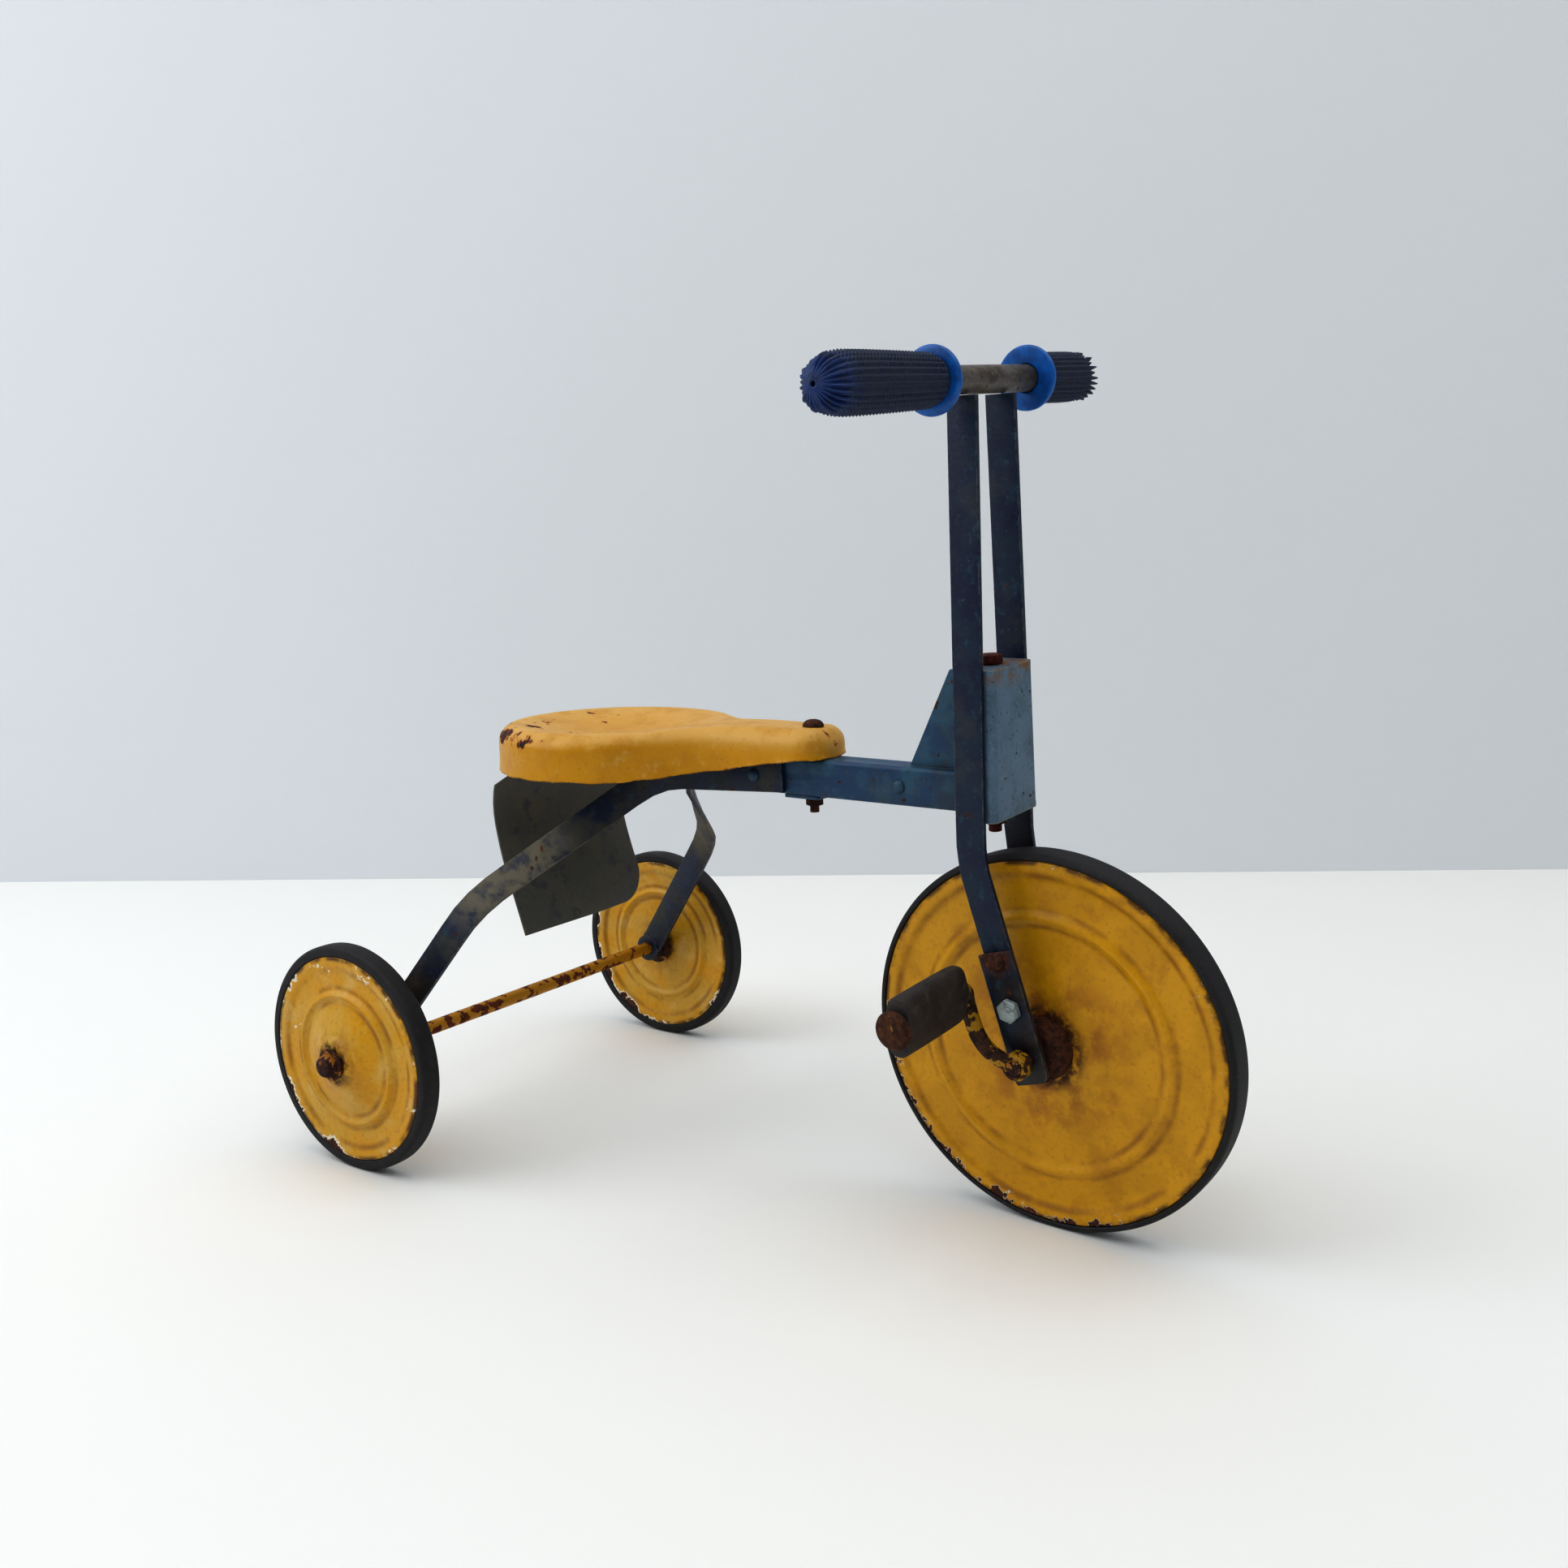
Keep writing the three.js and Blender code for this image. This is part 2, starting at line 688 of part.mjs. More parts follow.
put(tricycle, "boom", boom(), blue);
putPair(tricycle, "stay", stay(), blue);
put(tricycle, "apron", apron(), darkSheet);
put(tricycle, "rear_axle", rodY(AXLE_RADIUS, -192, 192, 24).translate(0, 0, REAR_RADIUS), yellow);
for (const [name, x, z] of [
  ["gusset_rivet", GUSSET_RIVET_X, GUSSET_RIVET_Z],
  ["stay_rivet", STAY_RIVET_X, STAY_RIVET_Z],
]) {
  const face = BOOM_WIDTH / 2 + GAP + (name === "stay_rivet" ? STRIP + GAP : 0);
  put(tricycle, name, rivet(4.2, 2.1, face), blue).position.set(x, 0, z);
}
const washer = cut(rodY(11, -1.8, 0), rodY(AXLE_RADIUS + GAP, -3, 1, 20));
for (const [name, geometry, offset] of [
  ["axle_washer", washer, 19.2],
  ["axle_nut", domeNut(8, 7.5), 21.3],
]) {
  const placed = geometry.translate(0, -REAR_TRACK / 2 - offset, REAR_RADIUS);
  putPair(tricycle, name, placed, rust);
}
put(tricycle, "saddle", saddle(), seatYellow);
put(tricycle, "saddle_bolt", saddleBolt(), rust);
const clamp = cut(new THREE.BoxGeometry(26, 22, 2.5).translate(-3, 0, 0), rodZ(3.4, -4, 4, 16));
put(tricycle, "saddle_clamp", clamp, blue).position.set(SEAT_BOLT_X, 0, BOOM_TOP - BOOM_HEIGHT - 1.25 - GAP);
const saddleNut = cut(hexZ(10, -5, 0), rodZ(3.3, -6, 1, 16));
put(tricycle, "saddle_nut", saddleNut, rust).position.set(SEAT_BOLT_X, 0, 256.8);
tricycle.add(rearWheel("right", 0), rearWheel("left", Math.PI));

const head = new THREE.Group();
head.position.set(HEAD_X, HEAD_FOOT_Y, 0);
head.rotation.x = HEAD_LEAN;
tricycle.add(head);
put(head, "head_tube", headTube(), blue);
put(head, "head_gusset", gusset(), blue);

const fork = new THREE.Group();
fork.rotation.z = STEER_AT_REST;
head.add(fork);
putPair(fork, "fork_blade", blade(), blue);
putPair(fork, "fork_end", forkEnd(), blue);
putPair(fork, "fork_rivet", forkRivet(), rust);
putPair(fork, "fork_bolt", forkBolt(), steel);
putPair(fork, "fork_nut", forkNut(), steel);
put(fork, "head_bracket", headBracket(), slate);
put(fork, "kingpin", kingpin(), rust);
put(fork, "kingpin_nut", kingpinNut(), rust);
put(fork, "handlebar", handlebar(), bareTube);
put(fork, "grip_right", grip(RIGHT_GRIP), gripVinyl);
put(fork, "grip_left", grip(LEFT_GRIP), gripVinyl).scale.y = -1;

const wheel = new THREE.Group();
wheel.position.set(AXLE_AHEAD, 0, AXLE_HEIGHT);
fork.add(wheel);
put(wheel, "front_tyre", tyre(FRONT_RADIUS, FRONT_RIM, 7.8, 10, 44), tyreRubber);
putPair(wheel, "front_disc", pressedDisc(frontFace, 30), yellow);
put(wheel, "front_hub", frontHub, rust);
putPair(wheel, "hub_cup", hubCup, rust);
put(wheel, "front_axle", rodY(AXLE_RADIUS, -48, 48, 24), rust);

// The cranks stand opposite each other, so each side's pedal set is the other's, turned half round.
for (const [side, turn] of [
  ["right", 0],
  ["left", Math.PI],
]) {
  const drive = new THREE.Group();
  drive.rotation.x = turn;
  wheel.add(drive);
  const mirrored = new THREE.Group();
  mirrored.scale.x = turn ? -1 : 1;
  drive.add(mirrored);
  put(mirrored, `crank_${side}`, crank(), yellow);
  const pedal = new THREE.Group();
  pedal.position.set(PEDAL_BACK, 0, PEDAL_UP);
  mirrored.add(pedal);
  put(pedal, `pedal_cap_${side}`, pedalCap, rust);
  put(pedal, `pedal_sleeve_${side}`, pedalSleeve, rust);
  put(pedal, `pedal_block_${side}`, pedalBlock(), pedalRubber);
}

export default tricycle;
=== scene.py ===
"""An old child's tricycle with a direct-drive front wheel, painted yellow and dark blue, worn and rusting.

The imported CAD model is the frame. Lengths here are millimetres, turned to metres by MM where a mesh is made.
Each finished piece stands for the CAD node it is named after, and moves with that node's body.
"""
import random
from math import atan, cos, hypot, pi, radians, sin, sqrt

import bpy
from mathutils import Matrix, Vector


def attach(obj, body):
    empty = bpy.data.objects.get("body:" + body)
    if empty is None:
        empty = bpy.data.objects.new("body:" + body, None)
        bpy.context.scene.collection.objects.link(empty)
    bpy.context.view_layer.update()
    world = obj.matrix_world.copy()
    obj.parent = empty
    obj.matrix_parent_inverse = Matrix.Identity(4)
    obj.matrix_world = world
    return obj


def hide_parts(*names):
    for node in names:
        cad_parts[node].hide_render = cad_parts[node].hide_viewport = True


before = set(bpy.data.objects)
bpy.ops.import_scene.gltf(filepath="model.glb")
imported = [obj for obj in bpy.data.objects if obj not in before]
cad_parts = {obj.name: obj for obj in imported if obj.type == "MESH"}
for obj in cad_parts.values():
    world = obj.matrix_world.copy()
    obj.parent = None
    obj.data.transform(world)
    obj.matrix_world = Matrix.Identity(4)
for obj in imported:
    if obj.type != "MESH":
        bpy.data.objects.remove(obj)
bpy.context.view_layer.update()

MM = 0.001
SIDES = ("right", "left")


# ---- Places ----------------------------------------------------------------------------------------------------------

def shift(x, y, z):
    """A move in millimetres."""
    return Matrix.Translation(Vector((x, y, z)) * MM)


def turn(degrees, axis):
    """A turn about an axis through the origin."""
    return Matrix.Rotation(radians(degrees), 4, axis)


REAR_RADIUS, REAR_RIM = 79, 71.5
FRONT_RADIUS, FRONT_RIM = 120, 115.5
REAR_AXLE_X, HALF_TRACK = -241, 167
AXLE_AHEAD, AXLE_UP, BLADE_BEND = 35, 120.6, 115
PEDAL_BACK, PEDAL_UP = -33, 43
BORE = 5.3
PAN_X, PAN_RADIUS = 107, 86

# The frame is laid out from the floor under the rear axle, the fork from the floor under its own axis. The
# fork leans to one side and is turned a little to the right.
REAR = shift(REAR_AXLE_X, 0, 0)
HEAD = shift(165, 15, 0) @ turn(4, "X")
FORK = HEAD @ turn(-3, "Z")
WHEEL = FORK @ shift(AXLE_AHEAD, 0, AXLE_UP)
SWEEP = WHEEL @ Matrix.Rotation(-atan(AXLE_AHEAD / BLADE_BEND), 4, "Y")
BAR = FORK @ shift(0, 0, 512.5)
ALONG_Y = turn(-90, "X")
FLIP_X = Matrix.Diagonal((-1, 1, 1, 1))
FLIP_Y = Matrix.Diagonal((1, -1, 1, 1))
MIRRORS = (("right", Matrix.Identity(4)), ("left", FLIP_Y))
DRIVE = {"right": WHEEL, "left": WHEEL @ turn(180, "X") @ FLIP_X}
REAR_WHEEL = {"right": shift(REAR_AXLE_X, -HALF_TRACK, REAR_RADIUS),
              "left": shift(REAR_AXLE_X, HALF_TRACK, REAR_RADIUS) @ turn(180, "Z")}
PAN_CENTRE = REAR @ Vector((PAN_X * MM, 0, 0))


# ---- Materials -------------------------------------------------------------------------------------------------------

# Settings of the nodes that are used most: a smooth step in Map Range, and three kinds of Math.
SOFT = {"interpolation_type": "SMOOTHSTEP"}
TIMES, PLUS, LARGER = ({"operation": operation} for operation in ("MULTIPLY", "ADD", "MAXIMUM"))


def linear(hex_colour):
    """An sRGB hex colour as the linear RGBA that the shader works in."""
    parts = [int(hex_colour[i:i + 2], 16) / 255 for i in (1, 3, 5)]
    return (*[p / 12.92 if p <= 0.04045 else ((p + 0.055) / 1.055) ** 2.4 for p in parts], 1)


class Finish:
    """A material in the making: its shader, its place on the piece, and the layers put on it so far."""

    def __init__(self, name, roughness, metallic=0.0, ior=1.5):
        self.material = bpy.data.materials.new(name)
        self.material.use_nodes = True
        self.tree = self.material.node_tree
        self.shader = self.tree.nodes["Principled BSDF"]
        self.shader.inputs["IOR"].default_value = ior
        self.place = self.node("TexCoord", out="Object")
        self.colour = None
        self.rough = roughness
        self.metal = metallic
        self.height = None

    def node(self, kind, inputs=(), out=0, **settings):
        """Adds a node with its settings, each input a value or the socket that it is linked to, and returns
        one of its outputs."""
        made = self.tree.nodes.new("ShaderNode" + kind)
        for key, value in settings.items():
            setattr(made, key, value)
        for key, value in inputs.items() if isinstance(inputs, dict) else enumerate(inputs):
            if isinstance(value, bpy.types.NodeSocket):
                self.tree.links.new(value, made.inputs[key])
            else:
                made.inputs[key].default_value = value
        return made.outputs[out]

    def cloud(self, grain, low, high, detail=4.0, offset=0.0, stretch=(1, 1, 1)):
        """Blotches about grain millimetres across: 0 below low and 1 above high of the noise."""
        moved = self.node("Mapping", {"Vector": self.place, "Location": (offset, offset, offset), "Scale": stretch})
        noise = self.node("TexNoise", {"Vector": moved, "Scale": 1 / (grain * MM), "Detail": detail,
                                       "Roughness": 0.6})
        return self.node("MapRange", (noise, low, high), **SOFT)

    def edges(self, reach):
        """1 along the sharp edges of a piece, within reach millimetres, and 0 on its faces."""
        rounded = self.node("Bevel", (reach * MM,), samples=4)
        flat = self.node("NewGeometry", out="Normal")
        agree = self.node("VectorMath", (rounded, flat), "Value", operation="DOT_PRODUCT")
        return self.node("MapRange", (agree, 0.995, 0.93), **SOFT)

    def radius(self, centre, axis):
        """Distance from an axis, in millimetres."""
        arm = self.node("VectorMath", (self.place, tuple(centre)), operation="SUBTRACT")
        away = self.node("VectorMath", (arm, tuple(axis)), operation="CROSS_PRODUCT")
        metres = self.node("VectorMath", (away,), "Value", operation="LENGTH")
        return self.node("Math", (metres, 1 / MM), **TIMES)

    def towards(self, centre, direction, near, far):
        """0 on one side of a point, and 1 from far millimetres beyond it in a direction."""
        arm = self.node("VectorMath", (self.place, tuple(centre)), operation="SUBTRACT")
        ahead = self.node("VectorMath", (arm, tuple(direction)), "Value", operation="DOT_PRODUCT")
        return self.node("MapRange", (ahead, near * MM, far * MM), **SOFT)

    def about(self, centre, reach):
        """1 at a point, falling to 0 at reach millimetres from it."""
        away = self.node("VectorMath", (self.place, tuple(centre)), "Value", operation="DISTANCE")
        return self.node("MapRange", (away, reach * MM, reach * 0.4 * MM), **SOFT)

    def band(self, value, centre, half):
        """1 where value is at centre, falling to 0 at half either side."""
        off = self.node("Math", (value, centre), operation="SUBTRACT")
        size = self.node("Math", (off,), operation="ABSOLUTE")
        return self.node("MapRange", (size, half, 0.0), **SOFT)

    def overlap(self, *masks):
        """Where every mask holds: their product, each a socket or a number."""
        product, *others = masks
        for other in others:
            product = self.node("Math", (product, other), **TIMES)
        return product

    def coat(self, hex_colour, *masks, rough=None, metal=None, rise=0.0):
        """Lays a colour where every mask holds. rise is its height in millimetres over the coat below."""
        if not masks:
            self.colour = linear(hex_colour)
            return
        mask = self.overlap(*masks)
        self.colour = self.node("Mix", {0: mask, 6: self.colour, 7: linear(hex_colour)}, 2, data_type="RGBA")
        if rough is not None:
            self.rough = self.node("Mix", {0: mask, 2: self.rough, 3: rough})
        if metal is not None:
            self.metal = self.node("Mix", {0: mask, 2: self.metal, 3: metal})
        if rise:
            self.swell(rise, mask)

    def swell(self, rise, *masks):
        """Raises the surface by rise millimetres where every mask holds."""
        raised = self.overlap(*masks, rise * MM)
        self.height = raised if self.height is None else self.node("Math", (self.height, raised), **PLUS)

    def done(self):
        """Joins the layers to the shader."""
        for socket, value in (("Base Color", self.colour), ("Roughness", self.rough), ("Metallic", self.metal)):
            if isinstance(value, bpy.types.NodeSocket):
                self.tree.links.new(value, self.shader.inputs[socket])
            else:
                self.shader.inputs[socket].default_value = value
        if self.height is not None:
            bump = self.node("Bump", {"Height": self.height, "Distance": 1.0, "Strength": 1.0})
            self.tree.links.new(bump, self.shader.inputs["Normal"])
        return self.material


def rust_layers(finish, mask, offset):
    """Rust over a mask: dark scale with orange bloom and a rough, raised grain."""
    finish.coat("#4b2a1d", mask, rough=0.85, metal=0.0)
    finish.coat("#7a4426", mask, finish.cloud(3.5, 0.5, 0.66, offset=offset))
    finish.coat("#2b1a18", mask, finish.cloud(5, 0.54, 0.66, offset=offset + 1))
    finish.swell(0.12, mask, finish.cloud(1.2, 0.35, 0.7, offset=offset + 2))


def wheel_enamel(name, centre, axis, rim, bead, hub, pale, worn_side, seed):
    """Yellow stove enamel on pressed sheet: a thick glossy coat, stained brown within the bead and about the hub, with
    brown painted shade in its grooves, chipped at the rolled rim down to white primer and rust."""
    finish = Finish(name, 0.36)
    finish.coat("#d09a06")
    finish.coat("#cda23a" if pale else "#c59206", finish.cloud(38, 0.42, 0.6, offset=seed), rough=0.42)
    finish.coat("#d4ad58" if pale else "#b88404", finish.cloud(24, 0.5, 0.68, offset=seed + 1), 0.8)
    away = finish.radius(centre, axis)
    # Brown stain within the bead, and old grease close round the hub.
    inside_bead = finish.node("MapRange", (away, bead * 0.9, hub), **SOFT)
    finish.coat("#94550a", inside_bead, finish.cloud(16, 0.4, 0.64, offset=seed + 2), 0.45 if pale else 0.8,
                rough=0.5)
    near_hub = finish.node("MapRange", (away, hub + 9, hub), **SOFT)
    finish.coat("#4b2a12", near_hub, finish.cloud(6, 0.35, 0.6), rough=0.7)
    # Painted shade, brown, in the grooves beside the bead and inside the rim; then a darker band along the rim's edge.
    groove_shade = finish.node("Math", (finish.band(away, bead - 5, 3), finish.band(away, bead + 5, 3)), **LARGER)
    groove_shade = finish.node("Math", (groove_shade, finish.band(away, rim - 9, 3.6)), **LARGER)
    finish.coat("#85520c", groove_shade, finish.cloud(30, 0.34, 0.66, offset=seed + 3), 0.7, rough=0.55)
    finish.coat("#5e3c12", finish.band(away, rim - 1, 3), finish.cloud(16, 0.4, 0.6, offset=seed))
    # A thin film of dirt, with fine dark pits and pale scuffs.
    finish.coat("#85590f", finish.cloud(3, 0.5, 0.74, offset=seed + 4), 0.28, rough=0.55)
    finish.coat("#54340f", finish.cloud(1.2, 0.68, 0.75, offset=seed + 5), rough=0.7)
    finish.coat("#e3cf9c", finish.cloud(1.3, 0.715, 0.75, offset=seed + 9), rough=0.6)
    # Chips, more of them close to the rim and on the side that was knocked.
    at_rim = finish.node("MapRange", (away, rim - 12, rim - 0.5, 0.0, 0.26), **SOFT)
    knocked = finish.towards(centre, worn_side, -5, rim * 0.9)
    worn = finish.overlap(at_rim, finish.node("MapRange", (knocked, 0, 1, 0.4, 1.0), **SOFT))
    noise = finish.node("TexNoise", {"Vector": finish.place, "Scale": 1 / ((15 if pale else 9) * MM),
                                     "Detail": 6.0, "Roughness": 0.6})
    chance = finish.node("Math", (noise, worn), **PLUS)
    primer, rust = (0.715, 0.77) if pale else (0.745, 0.759)
    bare = finish.node("MapRange", (chance, primer, primer + 0.01), **SOFT)
    finish.coat("#eadfc8", bare, rough=0.6, rise=-0.12)
    rust_layers(finish, finish.node("MapRange", (chance, rust, rust + 0.015), **SOFT), seed + 6)
    finish.swell(0.05, finish.cloud(5, 0.3, 0.7, detail=2, offset=seed))
    finish.swell(0.5, finish.cloud(30, 0.2, 0.8, detail=1, offset=seed + 7))
    return finish.done()


def saddle_enamel():
    """The saddle's own warmer yellow, paler and a little rougher over its top as a painted highlight, rusting from
    chips along the rear rim and from the raw lower edge."""
    finish = Finish("saddle_enamel_brushed_on_pressed_steel", 0.36)
    finish.coat("#c9920c")
    up = finish.node("SeparateXYZ", (finish.place,), 2)
    # Painted highlight: the shoulder and top are paler, rising with height.
    finish.coat("#cfa14c", finish.node("MapRange", (up, 0.287, 0.2965), **SOFT), rough=0.46)
    finish.coat("#bd860c", finish.cloud(20, 0.45, 0.65), 0.6)
    finish.coat("#d4ae68", finish.cloud(9, 0.55, 0.72, offset=3), 0.45, rough=0.5)
    finish.coat("#9a5f10", finish.cloud(2.4, 0.58, 0.76, offset=5), 0.5, rough=0.6)
    finish.coat("#54340f", finish.cloud(1.4, 0.7, 0.75, offset=7), rough=0.7)
    # Chips: most at the right of the rear rim, some on the nose's top edge.
    noise = finish.node("TexNoise", {"Vector": finish.place, "Scale": 1 / (13 * MM), "Detail": 7.0,
                                     "Roughness": 0.62})
    rim = finish.band(up, 0.2925, 0.009)
    rear = finish.towards(PAN_CENTRE, (-0.78, -0.62, 0), 38, 72)
    all_round = finish.overlap(rim, finish.node("MapRange", (rear, 0, 1, 0.12, 1.0), **SOFT))
    nose_top = finish.node("MapRange", (up, 0.292, 0.302), **SOFT)
    nose = finish.overlap(finish.towards((0.036, 0, 0), (1, 0, 0), 0, 16), nose_top, 0.7)
    worn = finish.node("Math", (all_round, nose), **LARGER)
    worn = finish.node("Math", (worn, finish.edges(1.6)), **LARGER)
    chance = finish.node("Math", (noise, finish.overlap(worn, 0.23)), **PLUS)
    finish.coat("#b5701c", finish.node("MapRange", (chance, 0.675, 0.695), **SOFT), rough=0.6, rise=-0.05)
    rust_layers(finish, finish.node("MapRange", (chance, 0.7, 0.715), **SOFT), 11)
    finish.swell(0.07, finish.cloud(6, 0.3, 0.7, detail=2))
    finish.swell(0.6, finish.cloud(34, 0.2, 0.8, detail=1, offset=3))
    return finish.done()


def frame_enamel(name, base, shade, seed, dirt=0.5, chips=0.0, rusting=None, dusty=()):
    """Dark blue brushed enamel on strip steel: dull, sooty in patches, with rust, and pale grey along its edges as
    rubbed-through steel together with a painted edge highlight."""
    finish = Finish(name, 0.42)
    finish.coat(base)
    finish.coat(shade, finish.cloud(22, 0.42, 0.62, offset=seed), rough=0.52)
    finish.coat("#274a5c", finish.cloud(7, 0.56, 0.7, offset=seed + 1), 0.6)
    finish.coat("#4a4a40", finish.cloud(30, 0.5, 0.66, offset=seed + 2), dirt, rough=0.75)
    finish.coat("#5b6a72", finish.cloud(1.8, 0.64, 0.72, offset=seed + 3), 0.5, rough=0.6)
    for bend in dusty:
        dust = finish.cloud(10, 0.3, 0.58, offset=seed + 7)
        finish.coat("#77705f", finish.about(*bend), dust, 0.85, rough=0.85)
    # Pale grey along every sharp edge: worn paint, and also a painted highlight where the edges catch the light.
    finish.coat("#6f6d68", finish.edges(1.4), finish.cloud(5, 0.4, 0.6, offset=seed + 4), 0.8, rough=0.5)
    spots = finish.cloud(7, 0.665 - chips, 0.69 - chips, detail=7, offset=seed + 5)
    if rusting:
        patch = finish.overlap(finish.about(*rusting), finish.cloud(6, 0.3, 0.42, offset=seed))
        spots = finish.node("Math", (spots, patch), **LARGER)
    rust_layers(finish, spots, seed + 6)
    finish.swell(0.05, finish.cloud(3.5, 0.3, 0.7, detail=2, offset=seed))
    return finish.done()


def bracket_enamel():
    """The head bracket's faded grey-blue face, chalky from sun, with rust run down from the kingpin."""
    finish = Finish("faded_blue_enamel_on_folded_steel", 0.5)
    finish.coat("#60778a")
    finish.coat("#506676", finish.cloud(25, 0.4, 0.62))
    finish.coat("#728797", finish.cloud(3, 0.5, 0.7, offset=2), 0.5, rough=0.6)
    finish.coat("#2a3036", finish.cloud(4, 0.6, 0.7, offset=4), 0.6, rough=0.6)
    up = finish.node("SeparateXYZ", (finish.place,), 2)
    top_lug = finish.node("MapRange", (up, 0.334, 0.351), **SOFT)
    finish.coat("#7c5a3a", top_lug, finish.cloud(9, 0.42, 0.6, offset=6), rough=0.75)
    finish.coat("#8f8a70", finish.edges(1.6), finish.cloud(6, 0.4, 0.6), rough=0.6)
    rust_layers(finish, finish.cloud(6, 0.66, 0.69, detail=6, offset=8), 9)
    return finish.done()


def rusted_steel(name, light, dark, seed, trace=None, kept=0.56):
    """Bare mild steel under years of dry rust: brown scale, a rough grain and no shine. trace is the paint
    left on it, and kept is where the noise cuts it off."""
    finish = Finish(name, 0.82, 0.15)
    finish.coat(light)
    finish.coat(dark, finish.cloud(6, 0.42, 0.6, offset=seed), rough=0.9)
    finish.coat("#7c4a2e", finish.cloud(3, 0.55, 0.68, offset=seed + 1), 0.6)
    finish.coat("#8a7466", finish.cloud(1.5, 0.64, 0.72, offset=seed + 2), 0.5)
    if trace:
        finish.coat(trace, finish.cloud(9, kept, kept + 0.03, detail=6, offset=seed + 3), rough=0.45, rise=0.1)
    finish.swell(0.16, finish.cloud(1.4, 0.3, 0.7, offset=seed + 4))
    return finish.done()


def zinc_plate():
    """Zinc-plated bolt steel, dulled to a pale grey oxide."""
    finish = Finish("dull_zinc_plated_steel", 0.5, 0.55)
    finish.coat("#aab4b4")
    finish.coat("#8b9492", finish.cloud(4, 0.45, 0.62), rough=0.62)
    finish.coat("#cdd4d2", finish.cloud(1.6, 0.58, 0.68, offset=3), rough=0.7, metal=0.2)
    finish.coat("#5d4a3c", finish.cloud(3, 0.68, 0.72, offset=5), rough=0.8, metal=0.0)
    finish.swell(0.05, finish.cloud(1.2, 0.3, 0.7))
    return finish.done()


def tarnished_tube():
    """The handlebar's drawn steel tube, tarnished brown-grey with dirt rubbed round it."""
    finish = Finish("tarnished_drawn_steel_tube", 0.48, 0.5)
    finish.coat("#6f6a66")
    finish.coat("#59504a", finish.cloud(12, 0.42, 0.62, stretch=(1, 0.4, 1)), rough=0.6)
    finish.coat("#8a7f70", finish.cloud(4, 0.54, 0.7, offset=2), 0.7, rough=0.5)
    finish.coat("#4a3226", finish.cloud(5, 0.62, 0.68, detail=6, offset=4), rough=0.85, metal=0.0)
    finish.coat("#2b3c57", finish.cloud(9, 0.63, 0.67, offset=6), rough=0.45, metal=0.0)
    finish.swell(0.05, finish.cloud(1.5, 0.3, 0.7))
    return finish.done()


def tyre_rubber():
    """Moulded solid rubber, hardened and greyed: nearly black, satin, with dust in its pores."""
    finish = Finish("aged_moulded_solid_rubber", 0.62, ior=1.52)
    finish.coat("#1e1d1f")
    finish.coat("#29272a", finish.cloud(30, 0.42, 0.6), rough=0.7)
    finish.coat("#403c38", finish.cloud(8, 0.54, 0.74, offset=2), 0.5, rough=0.8)
    finish.coat("#6b6660", finish.cloud(1.8, 0.64, 0.72, offset=4), 0.4, rough=0.8)
    finish.swell(0.08, finish.cloud(1.6, 0.3, 0.7, offset=5))
    return finish.done()


def pedal_rubber():
    """Moulded pedal rubber, scuffed brown-grey and dirty."""
    finish = Finish("scuffed_moulded_pedal_rubber", 0.66, ior=1.52)
    finish.coat("#3b3532")
    finish.coat("#2f2b2b", finish.cloud(16, 0.42, 0.6), rough=0.6)
    finish.coat("#544a40", finish.cloud(7, 0.52, 0.7, offset=2), 0.6, rough=0.8)
    finish.coat("#6a6056", finish.cloud(1.6, 0.62, 0.72, offset=4), 0.4, rough=0.8)
    finish.swell(0.1, finish.cloud(1.6, 0.3, 0.7))
    return finish.done()


def apron_sheet():
    """Black japanned sheet steel, gone matt and olive with dirt."""
    finish = Finish("matt_japanned_sheet_steel", 0.58)
    finish.coat("#5a5a55")
    finish.coat("#646055", finish.cloud(24, 0.42, 0.62), rough=0.66)
    finish.coat("#716b5c", finish.cloud(4, 0.52, 0.72, offset=2), 0.45, rough=0.75)
    finish.coat("#44474c", finish.cloud(14, 0.56, 0.68, offset=4), 0.8, rough=0.5)
    finish.coat("#6e6a60", finish.edges(1.0), finish.cloud(6, 0.4, 0.6), rough=0.6)
    finish.swell(0.05, finish.cloud(1.5, 0.3, 0.7))
    return finish.done()


def grip_vinyl():
    """Soft dark blue vinyl with grey hand dirt packed between its teeth; the end is cleaner and bluer."""
    finish = Finish("dirty_moulded_blue_vinyl", 0.55, ior=1.53)
    finish.coat("#1f2d4c")
    finish.coat("#2b3850", finish.cloud(14, 0.42, 0.6), rough=0.65)
    finish.coat("#454a52", finish.cloud(3, 0.44, 0.66, offset=2), 0.55, rough=0.8)
    across = finish.node("SeparateXYZ", (finish.place,), 1)
    end = finish.node("MapRange", (across, -0.152, -0.176), **SOFT)
    finish.coat("#1c3b72", end, finish.cloud(6, 0.3, 0.55, offset=4), rough=0.5)
    finish.swell(0.04, finish.cloud(1.0, 0.3, 0.7))
    return finish.done()


def flange_vinyl():
    """The grip's thin flange: the same vinyl in the clean, bright and faintly translucent."""
    finish = Finish("bright_translucent_blue_vinyl", 0.32, ior=1.53)
    finish.coat("#0f68b4")
    finish.coat("#0d5598", finish.cloud(9, 0.42, 0.62), rough=0.4)
    finish.coat("#2b4a7c", finish.cloud(2.5, 0.6, 0.72, offset=2), 0.6, rough=0.55)
    finish.shader.inputs["Subsurface Weight"].default_value = 0.25
    finish.shader.inputs["Subsurface Scale"].default_value = 4 * MM
    return finish.done()


# ---- Modelling -------------------------------------------------------------------------------------------------------

# Edges that turn by more than these degrees are kept sharp in the shading, or are rounded.
SHARP, ROUNDED = 38, 28


